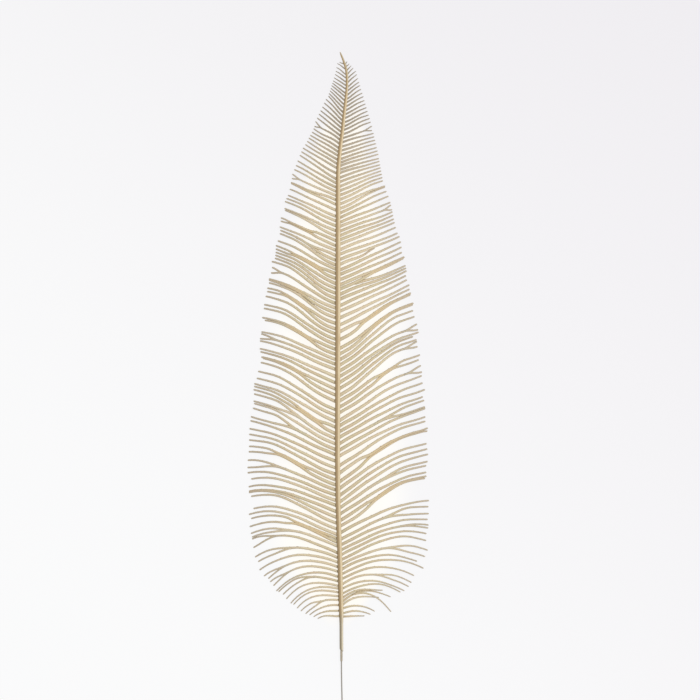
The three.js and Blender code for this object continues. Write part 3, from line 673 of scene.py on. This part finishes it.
@dataclass
class Leaflet:
    """One leaflet: where it grows, where its tip lies and how it bends between."""

    side: Side
    number: int
    seed: float
    root: float
    tip_reach: float
    tip_height: float
    slope_root: float
    slope_tip: float
    rise: float
    cling_from: float = 0.0
    cling_to: float = 0.0
    tuft: list["Leaflet"] = field(default_factory=list)
    place: float = 0.0
    starts_at: float = 0.0
    root_inset: float = 1.0
    root_lift: float = 0.32
    narrowing: float = 0.5
    fork_ease: float = 0.36
    cling_ease: float = 0.16
    cling_pitch: float = 0.64
    cling_level: float = 0.7
    leaf_arch: float = 4.0
    longest: float = 125.0
    layer: float = 1.25
    layers: int = 3
    layer_starts: float = -2.0
    layer_full: float = 9.0
    full_thickness: float = 5.5
    stray_from: float = 0.1
    stray_settled: float = 0.75
    stray_spread: float = 0.1

    @property
    def root_reach(self) -> float:
        """Reach of the root, a little inside the midrib's flank."""
        middle = self.side.value * interpolate(MIDRIB_LINE, self.root)
        return middle + interpolate(MIDRIB_SECTION, self.root) - self.root_inset

    @property
    def span(self) -> float:
        """How far the leaflet reaches outwards from its root."""
        return self.tip_reach - self.root_reach

    @property
    def forked(self) -> bool:
        """Whether the tuft is one leaflet that forks."""
        return self.cling_to > 0 and self.cling_from == 0

    def width(self, t: float) -> float:
        """Width of the blade at the share t of the reach."""
        return interpolate(LEAF_WIDTH, self.root) * (1 - self.narrowing * max(t, 0.0))

    def loose_height(self, t: float) -> float:
        """Height of the middle line at the share t of the reach, apart from the tuft."""
        settled = self.stray_settled + self.stray_spread * chance(self.seed + 0.5)
        stray = self.tip_height - self.root - self.rise
        return (
            self.root
            + (t**3 - 2 * t**2 + t) * self.span * self.slope_root
            + (3 * t**2 - 2 * t**3) * self.rise
            + (t**3 - t**2) * self.span * self.slope_tip
            + stray * smoothstep(self.stray_from, settled, t)
        )

    def drawn(self, t: float) -> float:
        """How closely the leaflet clings to its tuft at the share t of the reach, from 0 to 1."""
        if not self.cling_to:
            return 0.0
        if self.forked:
            return 1 - smoothstep(self.cling_to, self.cling_to + min(self.fork_ease, 1 - self.cling_to), t)
        together = smoothstep(self.cling_from - self.cling_ease, self.cling_from, t)
        return together * (1 - smoothstep(self.cling_to, self.cling_to + self.cling_ease, t))

    def height(self, t: float) -> float:
        """Height of the middle line at the share t of the reach, drawn to the tuft where they cling."""
        height = self.loose_height(t)
        drawn = self.drawn(t)
        if drawn == 0:
            return height
        heights = [mate.loose_height(min(1.0, self.span * t / mate.span)) for mate in self.tuft]
        beside = 0.0 if self.forked else self.place * self.cling_pitch * self.width(t)
        return height + drawn * (sum(heights) / len(heights) - beside - height)

    def point(self, t: float) -> Vector:
        """Middle of the underside at the share t of the reach."""
        thickness = interpolate(MIDRIB_SECTION, self.root, 2)
        layer = (self.number % self.layers) * self.layer * min(1.0, thickness / self.full_thickness)
        bow = self.leaf_arch * (self.span / self.longest) * 4 * t * (1 - t)
        clinging = 0.0 if self.forked else self.drawn(t)
        layer *= smoothstep(self.layer_starts, self.layer_full, self.span * t)
        layer *= 1 - self.cling_level * clinging
        lift = (Midrib.underside(self.root) + self.root_lift * thickness) * (1 - t) + bow + layer
        return Vector((self.side.value * (self.root_reach + self.span * t), self.height(t), lift))


@dataclass
class LeafletRow:
    """All the leaflets of one side of the midrib."""

    side: Side
    tufts: Table
    roots: Table
    bend: Table
    first_seed: int
    root_stray: float = 0.3
    prong_lead: float = 0.05
    twin_gap: float = 1.0
    twin_start: float = 0.2

    def leaflets(self) -> list[Leaflet]:
        """Lays out the side's leaflets from the tip down; the prongs of a forked one share its number."""
        grown: list[Leaflet] = []
        number = 0
        for count, upper_reach, upper_height, lower_reach, lower_height, cling_from, cling_to in self.tufts:
            tuft: list[Leaflet] = []
            for place in range(count):
                share = place / (count - 1) if count > 1 else 0.5
                root = interpolate(self.roots, number)
                root += self.root_stray * (chance(number + self.first_seed) - 0.5)
                reach = upper_reach + (lower_reach - upper_reach) * share
                height = upper_height + (lower_height - upper_height) * share
                leaflet = self.leaflet(number, root, reach, height)
                leaflet.cling_from = cling_from
                leaflet.cling_to = cling_to
                leaflet.place = place - (count - 1) / 2
                leaflet.starts_at = cling_to - self.prong_lead if leaflet.forked and place else 0.0
                leaflet.tuft = tuft
                tuft.append(leaflet)
                number += 0 if leaflet.forked else 1
            number += 1 if tuft[0].forked else 0
            grown += tuft
        return self.part_twins(grown)

    def part_twins(self, grown: list[Leaflet]) -> list[Leaflet]:
        """Lets a leaflet that shares the root above start a little way out along its neighbour."""
        for upper, lower in zip(grown, grown[1:]):
            if not lower.forked and upper.root - lower.root < self.twin_gap:
                lower.starts_at = self.twin_start
        return grown

    def leaflet(self, number: int, root: float, reach: float, height: float) -> Leaflet:
        """Makes one leaflet that bends as its neighbours do.

        Args:
            number: Its number, counted down from the tip.
            root: Height of its root.
            reach: Reach of its tip.
            height: Height of its tip.

        Returns:
            The leaflet, outside any tuft.
        """
        slopes = [interpolate(self.bend, root, column) for column in (1, 2, 3)]
        return Leaflet(self.side, number, number + self.first_seed, root, reach, height, *slopes)

    def tangle(self, first_number: int) -> list[Leaflet]:
        """Lays out the lowest leaflets, which dried out of line."""
        tangled = []
        for number, (root, reach, height, slope_root, slope_tip) in enumerate(TANGLE, first_number):
            leaflet = self.leaflet(number, root, reach, height)
            leaflet.slope_root = slope_root
            leaflet.slope_tip = slope_tip
            leaflet.rise = height - root
            tangled.append(leaflet)
        return self.part_twins(tangled)


@dataclass
class Blades:
    """The thin toothed blades of one side's leaflets, as one piece."""

    name: str
    leaflets: list[Leaflet]
    finish: LeafFinish
    camber: float = 0.62
    thickness: float = 0.42
    station: float = 3.4
    tooth_pitch: float = 0.12
    bare_share: float = 0.3
    tooth_height: float = 0.75
    tooth_foot: float = 1.7
    tooth_face: float = 0.7
    tooth_curve: float = 1.6
    most_teeth: int = 8
    tip_clear: float = 4.0
    tip_round: float = 1.5
    tip_rings: tuple[float, ...] = (1.0, 0.6, 0.28, 0.08, 0.0)
    ring_gap: float = 1.1
    sunk: float = 1.6
    full_half: float = 1.95
    root_roll: float = 0.28
    roll: float = 0.16
    waver: float = 0.22
    root_swelling: float = 0.9
    clear: float = 0.1
    tooth_stain: float = 0.4
    left_axil_stain_shadow: float = 0.35
    right_axil: float = 0.5
    old_from: float = 480.0
    old_full: float = 670.0
    old_most: float = 1.3
    steps: int = 24
    nudge: float = 0.01
    roll_fades: float = 0.12
    roll_waves: float = 5.2
    waver_waves: float = 0.13
    prong_before: float = 0.02
    prong_after: float = 0.04
    tip_blunt: float = 0.92
    tip_power: float = 2.4
    thinning: float = 0.35
    spur_fades: float = 0.7
    spur_scale: float = 1.1
    swelling_at: float = 1.2
    swelling_length: float = 1.5
    stain_shadow_at: float = 0.9
    stain_shadow_length: float = 0.8
    margin: float = 0.9
    # Across the blade from the lower margin to the toothed one and back underneath, and its rise
    section: Table = (
        (-1, 0), (-0.62, 0.62), (-0.17, 0.74), (0, 1), (0.17, 0.74), (0.62, 0.62), (1, 0),
        (0.68, -0.06), (0, 0.14), (-0.68, -0.06),
    )

    def build(self, origin: Vector) -> bpy.types.Object:
        """Builds the side's blades and dresses them.

        Args:
            origin: Place of the stalk's reference point in the frame, in metres.

        Returns:
            The one object that holds them all.
        """
        surface = Surface()
        for leaflet in self.leaflets:
            self.grow(surface, leaflet)
        return surface.make(self.name, origin, self.finish.make(self.name + "_straw"))

    def teeth(self, leaflet: Leaflet, length: float) -> list[float]:
        """Distances of the teeth from the root, at much the same shares of the length in all leaflets."""
        pitch = self.tooth_pitch * length
        places = []
        for place in range(1, self.most_teeth + 1):
            places.append(pitch * (place + 0.5 * (chance(leaflet.seed * 3.1 + place) - 0.5)))
        return [place for place in places if self.bare_share * length < place < length - self.tip_clear]

    def stations(self, teeth: list[float], length: float) -> list[float]:
        """Distances from the root where a leaflet has a ring, close together at its teeth and tip."""
        fine = [tooth + step for tooth in teeth for step in (-self.tooth_foot, -0.5, 0.0, self.tooth_face)]
        fine += [length - self.tip_round * share for share in self.tip_rings]
        count = max(4, round(length / self.station))
        coarse = [-self.sunk + (length + self.sunk) * place / count for place in range(count)]
        kept = [place for place in coarse if min(abs(place - other) for other in fine) > self.ring_gap]
        return sorted(kept + fine)

    def grow(self, surface: Surface, leaflet: Leaflet) -> None:
        """Adds one blade to the surface."""
        line = [leaflet.point(step / self.steps) for step in range(self.steps + 1)]
        run = [0.0]
        for low, high in zip(line, line[1:]):
            run.append(run[-1] + (high - low).length)
        shares = tuple((distance, step / self.steps) for step, distance in enumerate(run))
        length = run[-1]
        teeth = self.teeth(leaflet, length)
        places = []
        for distance in self.stations(teeth, length):
            t = interpolate(shares, distance) if distance > 0 else distance / length
            if t >= leaflet.starts_at or not leaflet.starts_at:
                places.append((t, distance))
        first = len(surface.points)
        for t, distance in places:
            self.add_section(surface, leaflet, t, distance, length, teeth)
        surface.skin(first, len(places), len(self.section))

    def add_section(self, surface: Surface, leaflet: Leaflet, t: float, distance: float, length: float,
                    teeth: list[float]) -> None:
        """Adds one ring across a blade.

        Args:
            surface: What the ring is added to.
            leaflet: The leaflet that the blade belongs to.
            t: Share of its reach where the ring lies.
            distance: Distance of the ring from the root.
            length: Length of the whole blade.
            teeth: Distances of its teeth.
        """
        share = max(0.0, t)
        seed = leaflet.seed
        ahead = (leaflet.point(t + self.nudge) - leaflet.point(t - self.nudge)).normalized()
        upper = Vector((-ahead.y, ahead.x, 0)).normalized() * leaflet.side.value
        out = ahead.cross(upper) * leaflet.side.value
        roll = self.root_roll * bump(share, self.roll_fades)
        roll += self.roll * math.sin(self.roll_waves * share + 6.3 * chance(seed + 0.7))
        half = leaflet.width(t) / 2
        scale = half / self.full_half
        if leaflet.starts_at:
            start = leaflet.starts_at
            half *= smoothstep(start - self.prong_before, start + self.prong_after, t)
        end = max(0.0, (distance - length + self.tip_round) / self.tip_round)
        half *= math.sqrt(max(0.0, 1 - self.tip_blunt * end**self.tip_power))
        tooth = max((self.tooth(distance - place) for place in teeth), default=0.0)
        spur = self.tooth_height * tooth * (1 - self.spur_fades * share)
        spur *= min(1.0, scale * self.spur_scale)
        height = self.camber * scale + self.thickness * (1 - self.thinning * share)
        height *= 1 + self.root_swelling * bump(distance - self.swelling_at, self.swelling_length)
        middle = leaflet.point(t)
        middle += upper * self.waver * math.sin(distance * self.waver_waves + 9 * chance(seed + 0.3))
        ring = []
        for across, rise in self.section:
            wide = across * half + (spur if across > self.margin else 0.0)
            tall = rise * height
            ring.append(
                middle
                + upper * (wide * math.cos(roll) - tall * math.sin(roll))
                + out * (wide * math.sin(roll) * 0.5 + tall * math.cos(roll) + self.clear)
            )
        grain = [Vector((distance + 400 * chance(seed), across * half, seed)) for across, _ in self.section]
        on_left = leaflet.side is Side.LEFT
        # Near its root each blade takes a dark mark: on the left partly brown stain and partly painted
        # shadow of the midrib, on the right a fainter mark of random strength.
        axil_stain_shadow = self.left_axil_stain_shadow if on_left else self.right_axil * chance(seed + 0.2) ** 2
        stain_and_shadow = axil_stain_shadow * bump(distance - self.stain_shadow_at, self.stain_shadow_length)
        clinging = 0.0 if leaflet.forked else leaflet.drawn(t)
        # The tone is random on a loose blade and drops below zero where it clings, for the painted shade of
        # two layers.
        tone_and_cling_shade = chance(seed * 1.7 + 0.9) * (1 - clinging) - clinging
        aged = max(share, self.old_most * smoothstep(self.old_from, self.old_full, leaflet.root))
        spotted = self.tooth_stain * tooth
        stains_and_shadows = [max(stain_and_shadow, spotted if across > self.margin else 0.0) for across, _ in self.section]
        surface.add_ring(ring, grain, [Vector((aged, tone_and_cling_shade, each)) for each in stains_and_shadows])

    def tooth(self, offset: float) -> float:
        """Height share of a tooth at a distance before or past its point: a slow foot and a short face."""
        if offset <= 0:
            return max(0.0, 1 + offset / self.tooth_foot) ** self.tooth_curve
        return max(0.0, 1 - offset / self.tooth_face)


@dataclass
class Midrib:
    """Bare stalk and midrib in one, with the knobs that the leaflets stand on and the bored cut end."""

    left: list[Leaflet]
    right: list[Leaflet]
    finish: MidribFinish
    sides: int = 28
    step: float = 1.5
    left_knob: float = 0.75
    right_knob: float = 0.28
    knob_length: float = 1.35
    knob_width: float = 0.5
    knob_above: float = 0.2
    flutes: int = 7
    flute: float = 0.05
    unevenness: float = 0.07
    hole_radius: float = 1.2
    hole_edge: float = 0.75
    rough_cut: float = 0.12
    cut_length: float = 0.6
    girth: float = 1.02
    shoot_girth: float = 0.4
    full_half: float = 3.3
    end_length: float = 5.0
    end_taper: float = 0.45
    smoothing: tuple[float, ...] = (-7, -3.5, 0, 3.5, 7)
    straight_to: float = 30.0
    shoot_from: float = 712.0
    shoot_full: float = 742.0
    flute_drift: float = 0.4
    flute_waves: float = 0.011
    uneven_waves: tuple[float, float] = (0.19, 0.043)
    stain_shadow_above: float = 0.3
    stain_shadow_width: float = 0.5
    stain_shadow_least: float = 0.7
    stain_shadow_more: float = 0.5
    stain_shadow_from: float = 180.0
    stain_shadow_full: float = 60.0
    right_stain: float = 0.25
    right_above: float = 0.2
    right_width: float = 0.4
    name: str = "midrib"

    @staticmethod
    def underside(height: float) -> float:
        """Lift of the midrib's underside above the surface, as it bows up between its two ends."""
        share = min(1.0, max(0.0, (height - BOW_START) / BOW_LENGTH))
        return BOW_HEIGHT * (1 - math.cos(2 * math.pi * share)) / 2

    def middle(self, height: float) -> Vector:
        """Middle of the section at a height, on a line smoothed between the table's rows."""
        places = [interpolate(MIDRIB_LINE, height + step) for step in self.smoothing]
        smooth = self.straight_to < height < TIP_HEIGHT - self.smoothing[-1]
        reach = sum(places) / len(places) if smooth else interpolate(MIDRIB_LINE, height)
        return Vector((reach, height, self.underside(height) + interpolate(MIDRIB_SECTION, height, 2) / 2))

    def swelling(self, roots: list[float], height: float) -> float:
        """How far the knobs of one side swell the midrib at a height, from 0 to 1."""
        near = [root for root in roots if abs(height - root) < 3 * self.knob_length]
        return min(1.0, sum(bump(height - root, self.knob_length) for root in near))

    def build(self, origin: Vector) -> bpy.types.Object:
        """Builds the midrib and dresses it.

        Args:
            origin: Place of the stalk's reference point in the frame, in metres.

        Returns:
            The object.
        """
        surface = Surface()
        self.bore(surface)
        left_roots = [leaflet.root + 1 for leaflet in self.left]
        right_roots = [leaflet.root + 1 for leaflet in self.right]
        count = round((TIP_HEIGHT - STALK_LOW) / self.step)
        heights = [STALK_LOW + (TIP_HEIGHT - STALK_LOW) * place / count for place in range(count + 1)]
        for height in heights:
            knobs = (self.swelling(left_roots, height), self.swelling(right_roots, height))
            self.add_section(surface, height, knobs)
        surface.skin(0, 3 + len(heights), self.sides)
        return surface.make(self.name, origin, self.finish.make("midrib_straw"))

    def bore(self, surface: Surface) -> None:
        """Adds the hole in the cut end, from its bottom out to its mouth, and the cut's inner ring."""
        mouth = self.hole_radius
        for radius, deep in ((mouth, True), (mouth, False), (mouth + self.hole_edge, False)):
            ring = []
            for side in range(self.sides):
                angle = 2 * math.pi * side / self.sides
                reach = radius * math.cos(angle)
                height = STALK_LOW + HOLE_DEPTH
                if not deep:
                    height = STALK_LOW + CUT_SLOPE * reach - self.rough_cut * chance(side + radius)
                ring.append(Vector((WIRE_X + reach, height, STALK_RADIUS + radius * math.sin(angle))))
            grain = [Vector((point.y, point.x, point.z)) for point in ring]
            surface.add_ring(ring, grain, [Vector((0, 0, 1))] * self.sides)

    def add_section(self, surface: Surface, height: float, knobs: tuple[float, float]) -> None:
        """Adds one ring round the midrib.

        Args:
            surface: What the ring is added to.
            height: Height of the ring.
            knobs: Swelling of the left and of the right side there, from 0 to 1.
        """
        middle = self.middle(height)
        half = interpolate(MIDRIB_SECTION, height)
        half *= self.girth + self.shoot_girth * smoothstep(self.shoot_from, self.shoot_full, height)
        deep = interpolate(MIDRIB_SECTION, height, 2) / 2
        size = half / self.full_half
        end = smoothstep(TIP_HEIGHT - self.end_length, TIP_HEIGHT, height)
        drift = self.flute_drift * math.sin(height * self.flute_waves)
        fine, coarse = self.uneven_waves
        foot = self.stain_shadow_least + self.stain_shadow_more * smoothstep(self.stain_shadow_from, self.stain_shadow_full, height)
        ring = []
        grain = []
        marks_and_shade = []
        for side in range(self.sides):
            angle = 2 * math.pi * side / self.sides
            away = math.cos(angle)
            off_left = angle - math.pi
            off_right = (angle + math.pi) % (2 * math.pi) - math.pi
            swell = self.left_knob * knobs[0] * bump(off_left + self.knob_above, self.knob_width)
            swell += self.right_knob * knobs[1] * bump(off_right - self.knob_above, self.knob_width)
            swell += self.flute * math.cos(self.flutes * angle + drift)
            swell += self.unevenness * math.sin(height * fine + 2 * angle) * math.sin(height * coarse)
            lift = deep * math.sin(angle)
            reach = half * away
            grow = 1 + swell * size / half
            grow *= 1 - self.end_taper * end
            slant = CUT_SLOPE * reach * bump(height - STALK_LOW, self.cut_length)
            down = max(lift * grow, -deep)
            ring.append(Vector((middle.x + reach * grow, middle.y + slant, middle.z + down)))
            grain.append(Vector((height, abs(angle - math.pi) * half, 0)))
            # The knobs darken the midrib: on the left partly brown stain and partly painted shadow, more so
            # towards the foot; on the right a fainter mark.
            stain_and_shadow = knobs[0] * bump(off_left + self.stain_shadow_above, self.stain_shadow_width) * foot
            stain_and_shadow += self.right_stain * knobs[1] * bump(off_right - self.right_above, self.right_width)
            # Kept per point: the painted shade of the left flank, the knobs' stain and shadow, and no cut.
            marks_and_shade.append(Vector((0.5 - 0.5 * away, min(1.0, stain_and_shadow), 0)))
        surface.add_ring(ring, grain, marks_and_shade)


@dataclass
class StemWire:
    """The wire that stands in the cut end and sags to lie on the surface."""

    finish: WireFinish
    radius: float = 0.85
    top: float = STALK_LOW + HOLE_DEPTH - 0.3
    straight_to: float = -38.4
    rest_from: float = -87.0
    end: float = -140.0
    rest: float = 0.1
    drift: float = 1.7
    # How deep in from an end a ring lies, and its share of the radius
    rounding: Table = ((0.0, 0.8), (0.12, 0.95), (0.3, 1.0))
    sides: int = 20
    step: float = 1.5
    name: str = "stem_wire_fine"

    def point(self, height: float) -> Vector:
        """Middle of the wire at a height."""
        sag = smoothstep(-self.straight_to, -self.rest_from, -height)
        lift = STALK_RADIUS + (self.radius + self.rest - STALK_RADIUS) * sag
        drift = self.drift * smoothstep(-self.straight_to, -self.end, -height)
        return Vector((WIRE_X + drift, height, lift))

    def build(self, origin: Vector) -> bpy.types.Object:
        """Builds the wire and dresses it.

        Args:
            origin: Place of the stalk's reference point in the frame, in metres.

        Returns:
            The object.
        """
        surface = Surface()
        count = round((self.top - self.end) / self.step)
        places = [(self.top + (self.end - self.top) * place / count, 1.0) for place in range(1, count)]
        places = [(self.top - deep, scale) for deep, scale in self.rounding] + places
        places += [(self.end + deep, scale) for deep, scale in reversed(self.rounding)]
        for height, scale in places:
            self.add_section(surface, height, self.radius * scale)
        surface.skin(0, len(places), self.sides)
        return surface.make(self.name, origin, self.finish.make("wire_steel"))

    def add_section(self, surface: Surface, height: float, radius: float) -> None:
        """Adds one ring round the wire."""
        middle = self.point(height)
        angles = [2 * math.pi * side / self.sides for side in range(self.sides)]
        ring = [middle + Vector((radius * math.cos(angle), 0, radius * math.sin(angle))) for angle in angles]
        grain = [Vector((height, abs(angle - math.pi) * radius, 0)) for angle in angles]
        surface.add_ring(ring, grain, [Vector((0, 0, 0))] * self.sides)


@dataclass
class WireBinding:
    """Paper tape wound round the wire close under the cut, each turn lapping the last."""

    finish: TapeFinish
    length: float = 12.7
    inner: float = 0.9
    outer: float = 1.6
    lap: float = 0.17
    crinkle: float = 0.05
    thinnest: float = 0.12
    cut_gap: float = 0.25
    cut_fades: float = 5.0
    pitch: float = 3.1
    upper_ease: tuple[float, float] = (-0.6, 0.4)
    lower_ease: float = 1.6
    end_share: float = 0.35
    sides: int = 36
    step: float = 0.22
    name: str = "wire_tape"

    def build(self, origin: Vector) -> bpy.types.Object:
        """Builds the tape and dresses it.

        Args:
            origin: Place of the stalk's reference point in the frame, in metres.

        Returns:
            The object.
        """
        surface = Surface()
        count = round(self.length / self.step)
        self.add_section(surface, 0.0, bare=True)
        for place in range(count + 1):
            self.add_section(surface, self.length * place / count)
        self.add_section(surface, self.length, bare=True)
        surface.skin(0, count + 3, self.sides, capped=False)
        low = len(surface.points) - self.sides
        for side in range(self.sides):
            next_side = (side + 1) % self.sides
            surface.faces.append((side, next_side, low + next_side, low + side))
        return surface.make(self.name, origin, self.finish.make("tape_paper"))

    def add_section(self, surface: Surface, down: float, bare: bool = False) -> None:
        """Adds one ring of the tape.

        Args:
            surface: What the ring is added to.
            down: Distance of the ring below the tape's upper end.
            bare: Whether the ring lies on the wire, inside the tape.
        """
        ring = []
        grain = []
        marks_and_shade = []
        for side in range(self.sides):
            angle = 2 * math.pi * side / self.sides
            turn = (down / self.pitch + side / self.sides) % 1.0
            ease = smoothstep(*self.upper_ease, down)
            ease *= smoothstep(0.0, self.lower_ease, self.length - down)
            radius = self.outer - self.lap * turn - self.crinkle * math.sin(3 * angle + down) ** 2
            thinnest = self.inner + self.thinnest
            radius = thinnest + (radius - thinnest) * (self.end_share + (1 - self.end_share) * ease)
            radius = self.inner if bare else radius
            reach = radius * math.cos(angle)
            raised = STALK_LOW - self.cut_gap + CUT_SLOPE * (WIRE_X + reach) - BINDING_HIGH
            raised *= 1 - smoothstep(0.0, self.cut_fades, down)
            place = Vector((reach, raised - down, radius * math.sin(angle)))
            ring.append(Vector((WIRE_X, BINDING_HIGH, STALK_RADIUS)) + place)
            grain.append(Vector((down, abs(angle - math.pi) * radius, 0)))
            marks_and_shade.append(Vector((turn, 0, 0)))
        surface.add_ring(ring, grain, marks_and_shade)


@dataclass
class Studio:
    """Pale floor, soft light from the right and a camera that looks straight down."""

    origin: Vector
    view_x: float = 11.3
    view_height: float = 367.9
    view_size: float = 910.0
    lens: float = 85.0
    sensor: float = 36.0
    floor_reach: float = 6.0
    room_colour: Colour = (0.97, 0.98, 1, 1)
    room_strength: float = 0.8
    key_power: float = 34.0
    key_place: tuple[float, float, float] = (1.15, 0.3, 1.6)
    key_size: float = 1.0
    fill_power: float = 5.0
    fill_place: tuple[float, float, float] = (-1.2, 0.6, 1.7)
    fill_size: float = 1.2

    def build(self) -> None:
        """Sets up the floor, the lights and the camera."""
        self.build_floor()
        self.build_lights()
        self.build_camera()
        bpy.context.scene.view_settings.view_transform = "Standard"

    def build_floor(self) -> None:
        """Lays the pale floor."""
        mesh = bpy.data.meshes.new("floor")
        far = self.floor_reach
        corners = [(-far, -far, 0), (far, -far, 0), (far, far, 0), (-far, far, 0)]
        mesh.from_pydata(corners, [], [(0, 1, 2, 3)])
        mesh.materials.append(FloorFinish().make("pale_floor", self.origin))
        floor = bpy.data.objects.new("floor", mesh)
        bpy.context.scene.collection.objects.link(floor)

    def build_lights(self) -> None:
        """Hangs a large soft light to the right and a weak one to the left, in a pale room."""
        world = bpy.data.worlds.new("room")
        world.use_nodes = True
        sky = world.node_tree.nodes["Background"]
        sky.inputs["Color"].default_value = self.room_colour
        sky.inputs["Strength"].default_value = self.room_strength
        bpy.context.scene.world = world
        lamps = (
            ("key", self.key_power, self.key_place, self.key_size),
            ("fill", self.fill_power, self.fill_place, self.fill_size),
        )
        for name, power, place, size in lamps:
            light = bpy.data.lights.new(name, "AREA")
            light.energy = power
            light.size = size
            lamp = bpy.data.objects.new(name, light)
            lamp.location = Vector(place)
            lamp.rotation_euler = (Vector((0, 0, 0)) - lamp.location).to_track_quat("-Z", "Y").to_euler()
            bpy.context.scene.collection.objects.link(lamp)

    def build_camera(self) -> None:
        """Sets the camera above the frond, with the tip at the top of the picture."""
        data = bpy.data.cameras.new("camera")
        data.lens = self.lens
        data.sensor_width = self.sensor
        data.sensor_fit = "HORIZONTAL"
        camera = bpy.data.objects.new("camera", data)
        away = self.view_size * self.lens / self.sensor
        camera.location = self.origin + Vector((self.view_x, self.view_height, away)) * MM
        bpy.context.scene.collection.objects.link(camera)
        bpy.context.scene.camera = camera


def stalk_origin() -> Vector:
    """Place of the stalk's reference point in the frame, read from the round binding's box."""
    low, high = (Vector(corner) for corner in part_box("wire_binding"))
    return Vector(((low.x + high.x) / 2 - WIRE_X * MM, high.y - BINDING_HIGH * MM, 0))


def main() -> None:
    """Builds the frond, its wire and the studio, and logs how many leaflets and faces they have."""
    logging.basicConfig(level=logging.INFO, format="%(message)s")
    origin = stalk_origin()
    Studio(origin).build()
    left = LeafletRow(Side.LEFT, LEFT_TUFTS, LEFT_ROOTS, LEFT_BEND, 0).leaflets()
    right_row = LeafletRow(Side.RIGHT, RIGHT_TUFTS, RIGHT_ROOTS, RIGHT_BEND, 200)
    right = right_row.leaflets()
    right += right_row.tangle(len(right))
    log.info("leaflets: %d left, %d right", len(left), len(right))
    declare(Midrib(left, right, MidribFinish()).build(origin), "frond")
    declare(Blades("leaflets_left", left, LeafFinish()).build(origin), "frond")
    declare(Blades("leaflets_right", right, LeafFinish()).build(origin), "frond")
    declare(StemWire(WireFinish()).build(origin), "stem_wire")
    declare(WireBinding(TapeFinish()).build(origin), "wire_binding")


if __name__ == "__main__":
    main()
